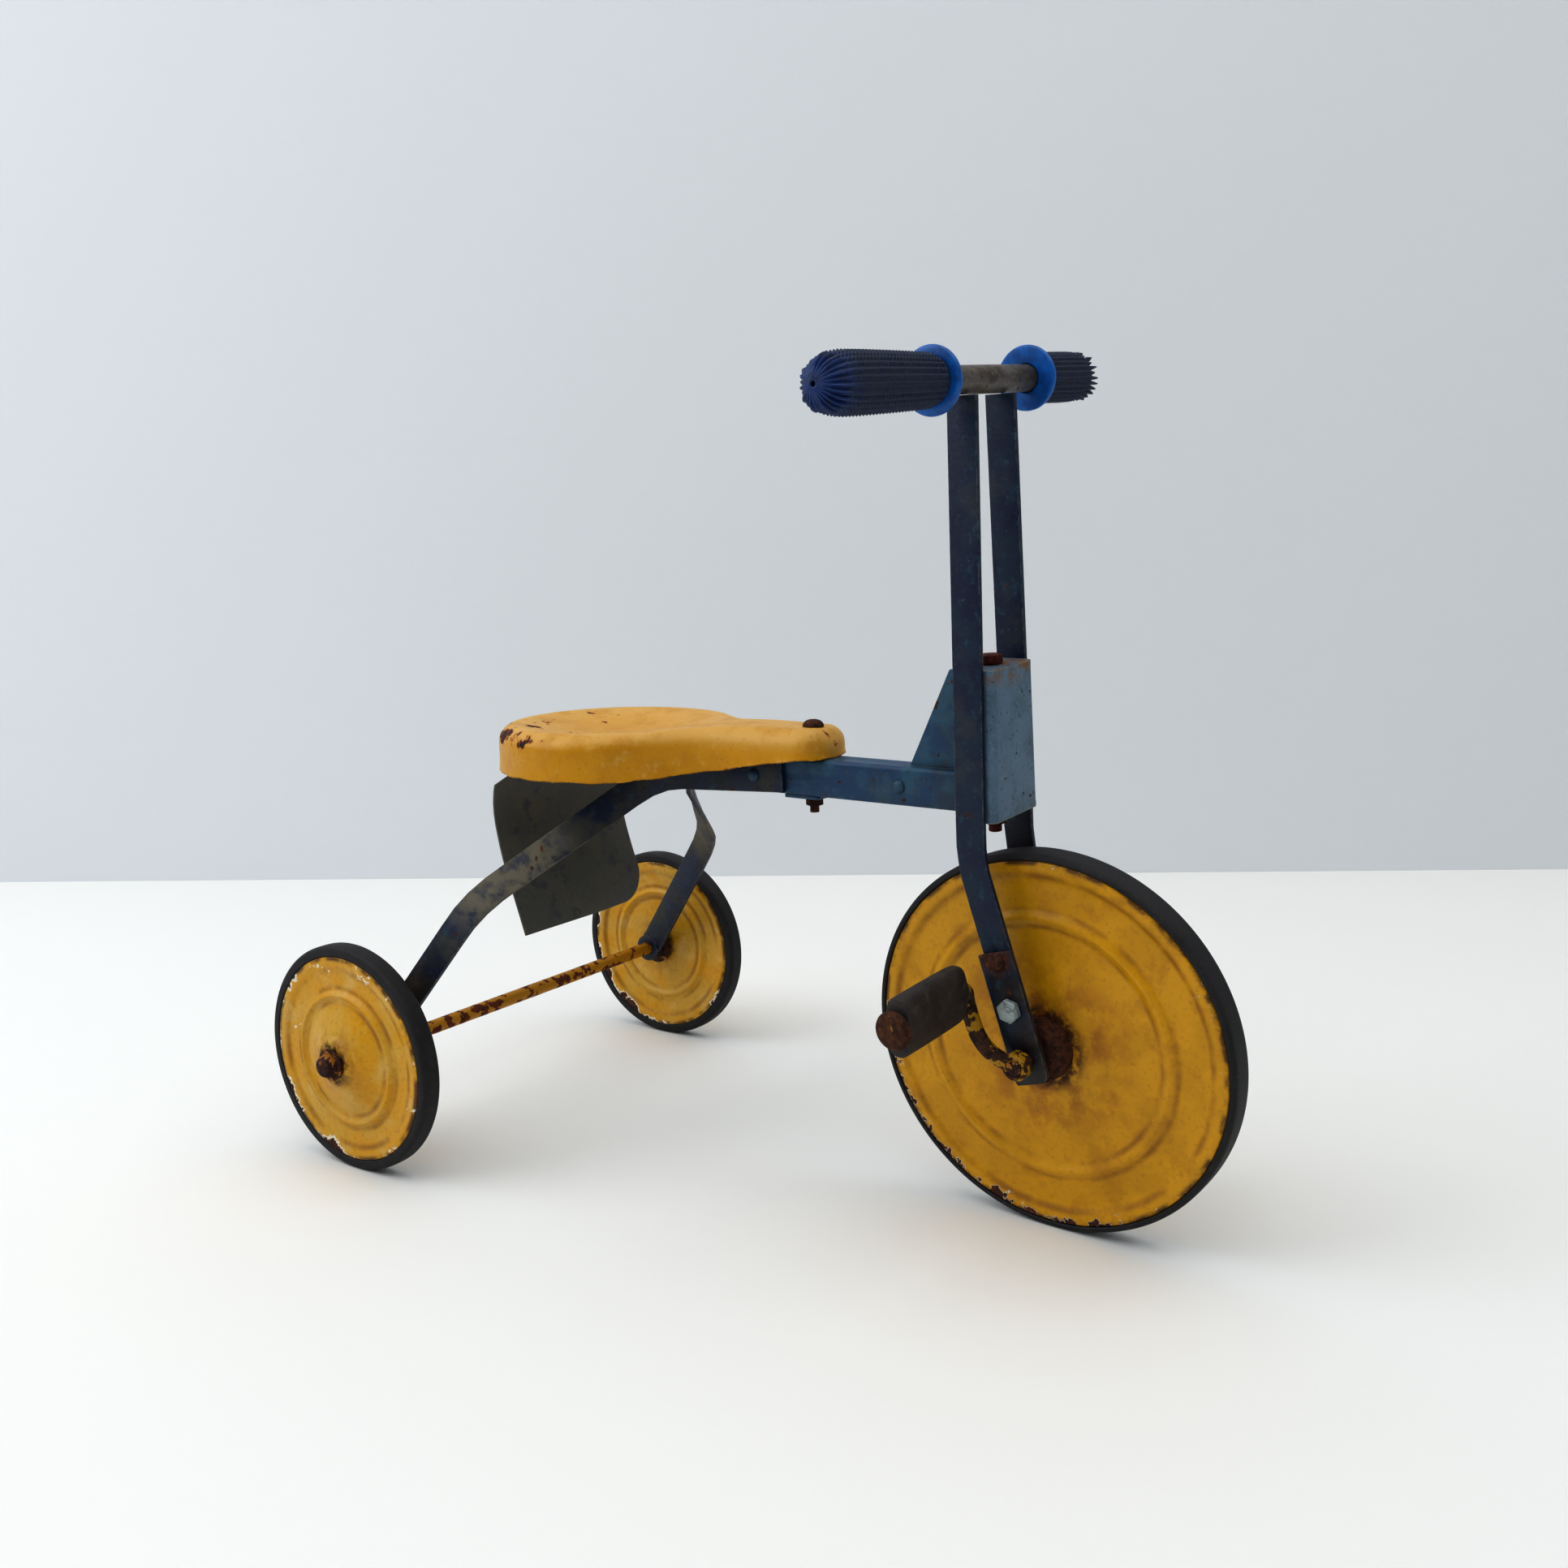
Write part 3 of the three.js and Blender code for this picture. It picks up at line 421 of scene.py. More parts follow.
def choose(piece):
    """Selects one piece and nothing else."""
    bpy.ops.object.select_all(action="DESELECT")
    piece.select_set(True)
    bpy.context.view_layer.objects.active = piece


def edit(piece):
    """Opens a piece for editing, all of it selected."""
    choose(piece)
    bpy.ops.object.mode_set(mode="EDIT")
    bpy.ops.mesh.select_all(action="SELECT")


def outward(piece, merge=1e-6):
    """Merges the doubles of a closed shape and turns its faces outwards."""
    edit(piece)
    bpy.ops.mesh.remove_doubles(threshold=merge)
    bpy.ops.mesh.normals_make_consistent(inside=False)
    bpy.ops.object.mode_set(mode="OBJECT")


def apply(piece, kind, **settings):
    """Puts a modifier on a piece and applies it."""
    choose(piece)
    modifier = piece.modifiers.new(kind.lower(), kind)
    for key, value in settings.items():
        setattr(modifier, key, value)
    bpy.ops.object.modifier_apply(modifier=modifier.name)


def soften(piece, width=0, segments=2):
    """Rounds the edges of a piece by a few tenths, and shades it smooth between its sharp ones."""
    if width:
        apply(piece, "BEVEL", width=width * MM, segments=segments, limit_method="ANGLE",
              angle_limit=radians(ROUNDED))
    choose(piece)
    bpy.ops.object.shade_smooth_by_angle(angle=radians(SHARP))


def hand_over(piece, name, body, slot, material, *nodes):
    """Names the finished piece, paints it, gives it to the body that it moves with, and hides the CAD nodes
    that it stands for."""
    piece.name = piece.data.name = name
    piece.data.materials.clear()
    piece.data.materials.append(material)
    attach(piece, body)
    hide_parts(*nodes)


def turned(profile, place, sides=96, closed=False):
    """A piece turned on a lathe: rings of radius and height, raised one from the next, stood along Y."""
    bpy.ops.object.select_all(action="DESELECT")
    bpy.ops.mesh.primitive_circle_add(vertices=sides, radius=profile[0][0] * MM, location=(0, 0, 0))
    piece = bpy.context.object
    edit(piece)
    bpy.ops.transform.translate(value=(0, 0, profile[0][1] * MM))
    for (r0, h0), (r1, h1) in zip(profile, profile[1:]):
        bpy.ops.mesh.extrude_edges_move(TRANSFORM_OT_translate={"value": (0, 0, (h1 - h0) * MM)})
        bpy.ops.transform.resize(value=(r1 / r0, r1 / r0, 1), center_override=(0, 0, h1 * MM))
    if not closed:
        bpy.ops.mesh.select_all(action="SELECT")
        bpy.ops.mesh.fill_holes(sides=0)
    bpy.ops.object.mode_set(mode="OBJECT")
    piece.data.transform(place @ ALONG_Y)
    outward(piece)
    return piece


def drawn(rings):
    """A piece drawn ring by ring: a circle takes the first ring's points, and each extrusion the next one's."""
    count = len(rings[0])
    bpy.ops.object.select_all(action="DESELECT")
    bpy.ops.mesh.primitive_circle_add(vertices=count, radius=1)
    piece = bpy.context.object
    edit(piece)
    for _ in rings[1:]:
        bpy.ops.mesh.extrude_edges_move(TRANSFORM_OT_translate={"value": (0, 0, 0)})
    bpy.ops.object.mode_set(mode="OBJECT")
    for i, vertex in enumerate(piece.data.vertices):
        vertex.co = Vector(rings[i // count][i % count]) * MM
    return piece


def lathe_ring(profile, place, sides=96):
    """A turned piece with a hole through it: its section closes on itself."""
    return turned([*profile, profile[0]], place, sides, closed=True)


def from_cad(node):
    """A copy of a CAD node with its corners merged and its flat faces whole again, ready for finer work."""
    piece = bpy.data.objects.new(node + "_copy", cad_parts[node].data.copy())
    bpy.context.scene.collection.objects.link(piece)
    edit(piece)
    bpy.ops.mesh.remove_doubles(threshold=2e-5)
    bpy.ops.mesh.dissolve_limited(angle_limit=radians(1))
    bpy.ops.object.mode_set(mode="OBJECT")
    return piece


def arc(centre, radius, start, end, steps):
    """Points on an arc as radius and height pairs, from one angle to another in degrees."""
    angles = [radians(start + (end - start) * i / steps) for i in range(steps + 1)]
    return [(centre[0] + radius * cos(a), centre[1] + radius * sin(a)) for a in angles]


def smooth(points, steps):
    """Points along a smooth curve through the given ones."""
    knots = [points[0], *points, points[-1]]
    out = []
    for a, b, c, d in zip(knots, knots[1:], knots[2:], knots[3:]):
        for i in range(steps):
            t = i / steps
            out.append(tuple(
                0.5 * (2 * q + (r - p) * t + (2 * p - 5 * q + 4 * r - s) * t * t + (3 * q - p - 3 * r + s) * t ** 3)
                for p, q, r, s in zip(a, b, c, d)))
    return [*out, points[-1]]


# ---- Paints ----------------------------------------------------------------------------------------------------------

WHEEL_AXIS = (WHEEL.to_3x3() @ Vector((0, 1, 0))).normalized()
front_yellow = wheel_enamel("front_wheel_enamel_on_pressed_steel", WHEEL.translation, WHEEL_AXIS,
                            rim=FRONT_RIM, bead=80.5, hub=22, pale=False, worn_side=(-0.5, 0, -0.86), seed=0.0)
rear_yellow = {side: wheel_enamel(f"rear_wheel_enamel_{side}", REAR_WHEEL[side].translation, (0, 1, 0),
                                  rim=REAR_RIM, bead=45, hub=11, pale=True, worn_side=(-0.85, 0, -0.53), seed=seed)
               for side, seed in (("right", 3.3), ("left", 8.1))}
seat_yellow = saddle_enamel()
boom_blue = frame_enamel("boom_enamel_on_pressed_steel", "#1f4263", "#33596f", 1.0, dirt=0.35, chips=0.02)
STAY_BENDS = [((-0.15, side * 0.105, 0.21), 62) for side in (-1, 1)]
stay_blue = frame_enamel("stay_enamel_on_strip_steel", "#1b2740", "#2b2f38", 4.0, dirt=0.8, chips=0.02,
                         dusty=STAY_BENDS)
blade_blue = frame_enamel("blade_enamel_on_strip_steel", "#0f1b3a", "#152a40", 7.0, dirt=0.3)
RIVET_FACE = (SWEEP @ shift(0, -33, 64)).translation
end_blue = frame_enamel("fork_end_enamel_on_plate_steel", "#1b2b40", "#2a2427", 9.0, dirt=0.5, chips=0.04,
                        rusting=(RIVET_FACE, 15))
bracket_blue = bracket_enamel()
brown_rust = rusted_steel("rusted_mild_steel", "#573626", "#3a2620", 2.0)
hub_rust = rusted_steel("rusted_hub_steel_with_paint", "#4c3027", "#33232a", 5.0, trace="#a5701c")
crank_rust = rusted_steel("rusted_crank_with_worn_yellow", "#4c3626", "#33241e", 7.0, trace="#a98112", kept=0.5)
cap_rust = rusted_steel("rusted_pedal_cap_with_worn_yellow", "#5e3b26", "#40291f", 12.0, trace="#a5781c", kept=0.64)
red_rust = rusted_steel("red_rusted_kingpin_steel", "#5e2a20", "#43201c", 9.0)
axle_paint = rusted_steel("rear_axle_enamel_worn_to_rust", "#70391f", "#5a3022", 3.0, trace="#b8820c", kept=0.45)
zinc = zinc_plate()
bar_steel = tarnished_tube()
rubber = tyre_rubber()
block_rubber = pedal_rubber()
japan = apron_sheet()
vinyl = grip_vinyl()
flange_blue = flange_vinyl()


# ---- Strip and plate -------------------------------------------------------------------------------------------------

# Each is the CAD shape with its sharp edges rounded, as on strip that was sheared and filed: node, body,
# material slot, paint and the width of the rounding.
strip_work = [
    ("boom", "frame", "frame_enamel", boom_blue, 0.5),
    ("head_gusset", "frame", "frame_enamel", boom_blue, 0.7),
    ("head_tube", "frame", "frame_enamel", boom_blue, 0.4),
    ("saddle_clamp", "frame", "frame_enamel", boom_blue, 0.6),
    ("apron", "frame", "apron_sheet", japan, 0.35),
    ("head_bracket", "fork", "bracket_enamel", bracket_blue, 0.6),
    ("kingpin", "fork", "rusted_steel", red_rust, 0.6),
    ("kingpin_nut", "fork", "rusted_steel", brown_rust, 0.6),
    ("saddle_nut", "frame", "rusted_steel", brown_rust, 0.5),
    ("front_hub", "front_wheel", "rusted_steel", hub_rust, 0.4),
]
for side in SIDES:
    strip_work += [
        (f"stay_{side}", "frame", "frame_enamel", stay_blue, 0.8),
        (f"fork_blade_{side}", "fork", "frame_enamel", blade_blue, 0.8),
        (f"fork_end_{side}", "fork", "frame_enamel", end_blue, 0.6),
        (f"fork_bolt_{side}", "fork", "zinc_plated_steel", zinc, 0.5),
        (f"fork_nut_{side}", "fork", "zinc_plated_steel", zinc, 0.5),
    ]
for node, body, slot, paint, width in strip_work:
    piece = from_cad(node)
    soften(piece, width, segments=3)
    hand_over(piece, node + "_finished", body, slot, paint, node)


# ---- Rivets, nuts and rods -------------------------------------------------------------------------------------------

HEAD_RISE = 2.4


def round_head(radius, rise, face, sign):
    """The profile of one domed rivet head, from its crown to its rim at a face."""
    steps = [radians(a) for a in (84, 65, 45, 25, 8)]
    return [(radius * cos(a), sign * (face + rise * sin(a))) for a in steps]


def rivet(head, shank, face, place):
    """A rivet through the strips between -face and face, with a domed head at each end."""
    near = round_head(head, HEAD_RISE, face, -1)
    far = [(r, -h) for r, h in reversed(near)]
    piece = turned([*near, (head, -face), (shank, -face), (shank, face), (head, face), *far], place, 40)
    soften(piece)
    return piece


hand_over(rivet(4.2, 2.1, 12.3, REAR @ shift(344, 0, 271.5)), "gusset_rivet_finished", "frame",
          "frame_enamel", boom_blue, "gusset_rivet")
hand_over(rivet(4.2, 2.1, 15.6, REAR @ shift(235, 0, 271)), "stay_rivet_finished", "frame",
          "frame_enamel", boom_blue, "stay_rivet")
FORK_END_Y = -29.65
for side, mirror in MIRRORS:
    place = FORK @ mirror @ FORK.inverted() @ SWEEP @ shift(0, FORK_END_Y, 61)
    hand_over(rivet(5.5, 2.5, 3.45, place), f"fork_rivet_{side}_finished", "fork", "rusted_steel",
              brown_rust, f"fork_rivet_{side}")

nut_profile = [(0.5, -7.5), (2.6, -7.35), (4.8, -6.7), (6.5, -5.4), (7.5, -3.6), (8, -1.6), (8, 0),
               (BORE, 0), (BORE, -4), (0.5, -4)]
rear_axle = turned([(4.2, -192), (5, -191.2), (5, 191.2), (4.2, 192)], REAR @ shift(0, 0, REAR_RADIUS), 48)
soften(rear_axle)
hand_over(rear_axle, "rear_axle_finished", "frame", "wheel_enamel", axle_paint, "rear_axle")
for side, mirror in MIRRORS:
    axle_end = mirror @ REAR @ shift(0, -HALF_TRACK, REAR_RADIUS)
    washer = lathe_ring([(BORE, -1.8), (11, -1.8), (11, 0), (BORE, 0)], axle_end @ shift(0, -19.2, 0), 64)
    soften(washer, 0.4)
    hand_over(washer, f"axle_washer_{side}_finished", "frame", "rusted_steel", hub_rust, f"axle_washer_{side}")
    nut = turned(nut_profile, axle_end @ shift(0, -21.3, 0), 64)
    soften(nut)
    hand_over(nut, f"axle_nut_{side}_finished", "frame", "rusted_steel", hub_rust, f"axle_nut_{side}")

bolt = turned([(0.5, 247), (3, 247.2), (3, 303.9), (7, 303.9), (6.8, 305), (5.9, 306.4), (4.4, 307.5),
               (2.4, 308.1), (0.5, 308.3)], REAR @ shift(273, 0, 0) @ turn(90, "X"), 48)
soften(bolt)
hand_over(bolt, "saddle_bolt_finished", "frame", "rusted_steel", brown_rust, "saddle_bolt")


# ---- Saddle ----------------------------------------------------------------------------------------------------------

# From above, in millimetres from the rear axle: half the nose's width, its tip, and the end of the spine that
# the pressing folds in to. From below: the skirt's lower edge, the rolled shoulder's radius and the sheet.
HALF_NOSE, TIP, SPINE_END = 27, 290, 262
SKIRT_LOW, SKIRT_RISE, ROLL, SADDLE_SHEET = 267, 18, 12.0, 1.7


def quadratic(a, b, c, steps):
    """Points after the first along a curve from a to c that b pulls on."""
    return [tuple((1 - t) ** 2 * p + 2 * t * (1 - t) * q + t * t * r for p, q, r in zip(a, b, c))
            for t in (i / steps for i in range(1, steps + 1))]


def saddle_outline(count):
    """The saddle from above, as evenly spaced points round its edge: a round pan, a neck and a nose."""
    pan_end = radians(58)
    left = [(PAN_X + PAN_RADIUS * cos(a), PAN_RADIUS * sin(a))
            for a in (pi + (pan_end - pi) * i / 48 for i in range(49))]
    x0, y0 = left[-1]
    neck = [((1 - t) ** 3 * x0 + 3 * t * (1 - t) ** 2 * (x0 + 34) + 3 * t * t * (1 - t) * 190 + t ** 3 * 222,
               (1 - t) ** 3 * y0 + 3 * t * (1 - t) ** 2 * (y0 - 27) + 3 * t * t * (1 - t) * (HALF_NOSE + 6)
               + t ** 3 * (HALF_NOSE + 2)) for t in (i / 24 for i in range(1, 25))]
    left += neck + [(TIP - 16, HALF_NOSE - 1)]
    left += quadratic((TIP - 16, HALF_NOSE - 1), (TIP, HALF_NOSE - 2), (TIP, 0), 12)
    ring = left + [(x, -y) for x, y in reversed(left[1:-1])]
    ring.append(ring[0])
    lengths = [0.0]
    for (xa, ya), (xb, yb) in zip(ring, ring[1:]):
        lengths.append(lengths[-1] + hypot(xb - xa, yb - ya))
    even, k = [], 0
    for i in range(count):
        target = lengths[-1] * i / count
        while lengths[k + 1] < target:
            k += 1
        t = (target - lengths[k]) / (lengths[k + 1] - lengths[k])
        even.append(tuple(p + (q - p) * t for p, q in zip(ring[k], ring[k + 1])))
    return even


def ease(x, low, high):
    """A smooth step from 0 at low to 1 at high."""
    t = min(max((x - low) / (high - low), 0), 1)
    return t * t * (3 - 2 * t)


def crown(x, y):
    """The saddle's top: a dish in the pan that closes towards the raised nose."""
    out = hypot((x - PAN_X) / 76, y / 70)
    dish = 11 * (1 - min(out, 1) ** 2.2) ** 1.4
    return 298.5 + 5 * ease(x, 150, 235) - dish


def saddle():
    """Pressed from sheet: a ragged skirt drawn up to a rolled shoulder, and over it to the dished top."""
    outline = saddle_outline(260)
    draw = random.Random(4)
    waves = [(n, draw.uniform(0, 2 * pi)) for n in (9, 17, 31)]
    walls = [(share, 0) for share in (0.0, 0.2, 0.4, 0.6, 0.8)]
    shoulder = [(1, ROLL * (1 - cos(radians(a)))) for a in range(0, 91, 9)]
    top = [(1, ROLL + (1 - ROLL / PAN_RADIUS) * t) for t in (0.1, 0.22, 0.34, 0.46, 0.58, 0.7, 0.82, 0.92, 0.99)]
    rings = []
    for wall, inset in walls + shoulder + top:
        ring = []
        for i, (x, y) in enumerate(outline):
            # Each point moves inwards to the spine that runs along the middle of the pan and the nose.
            spine = min(max(x, PAN_X), SPINE_END)
            reach = hypot(x - spine, y)
            inward = inset / reach if inset <= ROLL else ROLL / reach + (1 - ROLL / reach) * (inset - ROLL)
            inward += 0.8 * (1 - 0.8 * (1 - wall) ** 3) / reach * (inset < reach - 1)
            px, py = x + (spine - x) * min(inward, 0.995), y * (1 - min(inward, 0.995))
            low = SKIRT_LOW + SKIRT_RISE * ease(px, 150, 300)
            low += sum(sin(n * 2 * pi * i / len(outline) + p) for n, p in waves) * 0.25 * (1 - wall)
            high = crown(px, py) - ROLL + sqrt(max(ROLL ** 2 - max(ROLL - inset, 0) ** 2, 0))
            ring.append((px, py, low + (high - low) * wall))
        rings.append(ring)
    piece = drawn(rings)
    # The last ring, still selected, closes the top.
    choose(piece)
    bpy.ops.object.mode_set(mode="EDIT")
    bpy.ops.mesh.remove_doubles(threshold=1e-5)
    bpy.ops.mesh.edge_face_add()
    bpy.ops.object.mode_set(mode="OBJECT")
    piece.data.transform(REAR)
    outward(piece, 1e-5)
    apply(piece, "SOLIDIFY", thickness=SADDLE_SHEET * MM, offset=-1)
    soften(piece)
    return piece


hand_over(saddle(), "saddle_finished", "frame", "seat_enamel", seat_yellow, "saddle")


# ---- Wheels ----------------------------------------------------------------------------------------------------------

# The discs' sheet, and the rounding of the tyres' shoulders.
SHEET, TREAD_ROUND = 1.5, 3.2


def pressed_disc(face, back, place, sides=144):
    """A pressed disc: the smooth curve of its face, and the plainer line of its back."""
    front = [(r, -h) for r, h in smooth(face, 4)]
    behind = [(r, -h + SHEET) for r, h in back]
    piece = lathe_ring(front + behind[::-1], place, sides)
    soften(piece)
    return piece


def solid_tyre(radius, rim, half_tongue, half_tread, place, sides=160):
    """A solid tyre: its tongue is clamped between the discs, and its tread is rounded at both shoulders."""
    half = [(rim - 5.5, -half_tongue), (rim + 0.3, -half_tongue), (rim + 0.3, -half_tread + 0.7),
            (rim + 1, -half_tread)]
    half += arc((radius - 0.1 - TREAD_ROUND, -half_tread + TREAD_ROUND), TREAD_ROUND, -90, 0, 6)
    half += [(radius, -half_tread * 0.35)]
    piece = lathe_ring(half + [(r, -h) for r, h in reversed(half)], place, sides)
    soften(piece)
    return piece


front_face = [(9.4, 10.8), (26, 10.5), (50, 9.6), (70, 8.6), (74.5, 8.5), (77.4, 9.6), (80.5, 10.9), (83.6, 9.7),
              (86.6, 8.3), (94, 7.9), (101, 7.5), (104.5, 7.9), (108, 9.4), (112, 9.8), (114.6, 9.5), (115.5, 8.7)]
front_back = [(9.4, 10.8), (75, 8.4), (80.5, 10.8), (86, 8.4), (102, 7.6), (108, 9.7), (115, 9.5)]
outer_face = [(8.6, 18.2), (12.5, 18), (15.5, 17.2), (18.5, 15), (21.5, 14.2), (29, 11.4), (37.5, 7.9),
              (41.5, 7.1), (43.2, 7.9), (45, 8.9), (46.8, 7.7), (49, 6), (54, 5.6), (60, 5.8), (63, 6.6),
              (66, 7.3), (69, 7.5), (71, 7.1), (71.5, 6.5)]
outer_back = [(8.6, 18.2), (13, 18), (40, 7.2), (45, 8.8), (50, 5.8), (65, 7.3), (71, 7.2)]
inner_face = [(8.6, 6.6), (22, 5.9), (38, 4.9), (41.5, 4.9), (45, 6.8), (48.4, 4.9), (54, 4.6), (60, 5.4),
              (64, 6.9), (68, 7.4), (71, 7.1), (71.5, 6.5)]
inner_back = [(8.6, 6.6), (40, 4.8), (45, 6.8), (50, 4.8), (65, 7.3), (71, 7.2)]

for side in SIDES:
    place = REAR_WHEEL[side]
    body = f"rear_wheel_{side}"
    for node, face, back, where in (
        (f"rear_disc_outer_{side}", outer_face, outer_back, place),
        (f"rear_disc_inner_{side}", inner_face, inner_back, place @ FLIP_Y),
    ):
        hand_over(pressed_disc(face, back, where, 128), node + "_finished", body, "wheel_enamel",
                  rear_yellow[side], node)
    hand_over(solid_tyre(REAR_RADIUS, REAR_RIM, 5.4, 7.4, place), f"rear_tyre_{side}_finished", body,
              "tyre_rubber", rubber, f"rear_tyre_{side}")
    hub = lathe_ring([(5.7, -18.6), (8.3, -18.6), (8.3, 9.5), (15, 9.5), (15, 12), (10.5, 14), (5.7, 14)],
                     place, 64)
    soften(hub, 0.5)
    hand_over(hub, f"rear_hub_{side}_finished", body, "rusted_steel", hub_rust, f"rear_hub_{side}")

hand_over(solid_tyre(FRONT_RADIUS, FRONT_RIM, 7.8, 10, WHEEL, 200), "front_tyre_finished", "front_wheel",
          "tyre_rubber", rubber, "front_tyre")
front_axle = turned([(4.3, -48), (5, -47.3), (5, 47.3), (4.3, 48)], WHEEL, 48)
soften(front_axle)
hand_over(front_axle, "front_axle_finished", "front_wheel", "rusted_steel", hub_rust, "front_axle")
for side, mirror in MIRRORS:
    hand_over(pressed_disc(front_face, front_back, WHEEL @ mirror, 176), f"front_disc_{side}_finished",
              "front_wheel", "wheel_enamel", front_yellow, f"front_disc_{side}")
    cup = lathe_ring([(9.3, -23.5), (16.6, -23.5), (18.2, -22.9), (19.1, -21.2), (20, -11.2), (9.3, -11.2)],
                     WHEEL @ mirror, 72)
    soften(cup)
    hand_over(cup, f"hub_cup_{side}_finished", "front_wheel", "rusted_steel", brown_rust, f"hub_cup_{side}")


# ---- Cranks and pedals -----------------------------------------------------------------------------------------------

def crank(place):
    """A bent rod, forged to an eye on the axle and turned down to the spindle that the pedal runs on."""
    bpy.ops.object.select_all(action="DESELECT")
    bpy.ops.curve.primitive_bezier_curve_add(location=(0, 0, 0))
    rod = bpy.context.object
    rod.data.bevel_depth = 5 * MM
    rod.data.bevel_resolution = 6
    rod.data.resolution_u = 10
    rod.data.use_fill_caps = True
    out, tilt = -42.7, 43
    knots = [((-4, out, 0.5), (6, out, 0), (-13, out, 1), 1.0),
             ((-27.5, out, 17), (-23, out, 6), (-31, out, 26), 1.0),
             ((PEDAL_BACK, out, tilt - 6), (PEDAL_BACK, out, tilt - 9), (PEDAL_BACK, out, tilt - 2), 0.96),
             ((PEDAL_BACK, out - 6, tilt), (PEDAL_BACK, out - 2, tilt), (PEDAL_BACK, out - 9, tilt), 0.82),
             ((PEDAL_BACK, -120.4, tilt), (PEDAL_BACK, -100, tilt), (PEDAL_BACK, -122, tilt), 0.8)]
    spline = rod.data.splines[0]
    spline.bezier_points.add(len(knots) - 2)
    for point, (at, before, after, size) in zip(spline.bezier_points, knots):
        point.handle_left_type = point.handle_right_type = "FREE"
        point.co, point.handle_left, point.handle_right = (Vector(p) * MM for p in (at, before, after))
        point.radius = size
    choose(rod)
    bpy.ops.object.convert(target="MESH")
    rod.data.transform(place)
    outward(rod, 1e-5)
    eye = turned([(0.5, -47.2), (7.4, -47.2), (8.5, -46.2), (8.5, -39.2), (7.4, -38.2), (0.5, -38.2)], place, 48)
    bore = turned([(5.4, -60), (5.4, -20)], place, 40)
    apply(rod, "BOOLEAN", operation="UNION", object=eye, solver="EXACT")
    apply(rod, "BOOLEAN", operation="DIFFERENCE", object=bore, solver="EXACT")
    for spent in (eye, bore):
        bpy.data.objects.remove(spent)
    soften(rod)
    return rod


def pedal_block(place):
    """A moulded rubber block: a thick bar with round edges, slightly bellied, its inner end bulging round the
    bore."""
    count, thick, wide, bore = 64, 8.5, 18, 6.9

    def outline(grown, at):
        ring = []
        for i in range(count):
            a = 2 * pi * i / count
            reach = (abs(cos(a)) ** 2.6 + abs(sin(a)) ** 2.6) ** (-1 / 2.6)
            ring.append(((thick - grown) * reach * cos(a), at, (wide - grown) * reach * sin(a)))
        return ring

    def hole(at, grown=0.0):
        return [((bore + grown) * cos(2 * pi * i / count), at, (bore + grown) * sin(2 * pi * i / count))
                for i in range(count)]

    ends = [(1.5, -116), (0.7, -115.6), (0.2, -114.6)]
    body = [(0.15, -112), (0.0, -100), (0.0, -84), (0.1, -68), (0.35, -58), (0.9, -54), (2.2, -51.4)]
    rings = [hole(-50.6), hole(-116), hole(-116, 0.1)] + [outline(*ring) for ring in ends + body]
    rings += [hole(-50.2, 0.4), hole(-50.6)]
    piece = drawn(rings)
    piece.data.transform(place)
    outward(piece, 1e-6)
    soften(piece)
    return piece


cap_profile = [(0.5, -124), (4, -123.9), (7, -123.4), (9.4, -122.6), (10.9, -121.5), (11.5, -120.2), (11.5, -119),
               (11.1, -118.6), (4.3, -118.6), (4.3, -120.8), (0.5, -120.8)]
for side in SIDES:
    place = DRIVE[side]
    hand_over(crank(place), f"crank_{side}_finished", "front_wheel", "wheel_enamel", crank_rust, f"crank_{side}")
    spindle = place @ shift(PEDAL_BACK, 0, PEDAL_UP)
    cap = turned(cap_profile, spindle, 64)
    soften(cap)
    hand_over(cap, f"pedal_cap_{side}_finished", "front_wheel", "rusted_steel", cap_rust, f"pedal_cap_{side}")
    sleeve = lathe_ring([(4.7, -117.6), (6.6, -117.6), (6.6, -49), (4.7, -49)], spindle, 48)
    soften(sleeve, 0.3)
    hand_over(sleeve, f"pedal_sleeve_{side}_finished", f"pedal_{side}", "rusted_steel", brown_rust,
              f"pedal_sleeve_{side}")
    hand_over(pedal_block(spindle), f"pedal_block_{side}_finished", f"pedal_{side}", "pedal_rubber", block_rubber,
              f"pedal_block_{side}")


# ---- Handlebar and grips ---------------------------------------------------------------------------------------------

tube = lathe_ring([(8, -105), (8, 105), (6.4, 105), (6.4, -105)], BAR, 64)
soften(tube, 0.3)
hand_over(tube, "handlebar_finished", "fork", "bare_steel_tube", bar_steel, "handlebar")

# Ribs round a grip, faces across each, and millimetres from tooth to tooth along it.
RIBS, ACROSS_RIB, TOOTH = 26, 10, 3.0


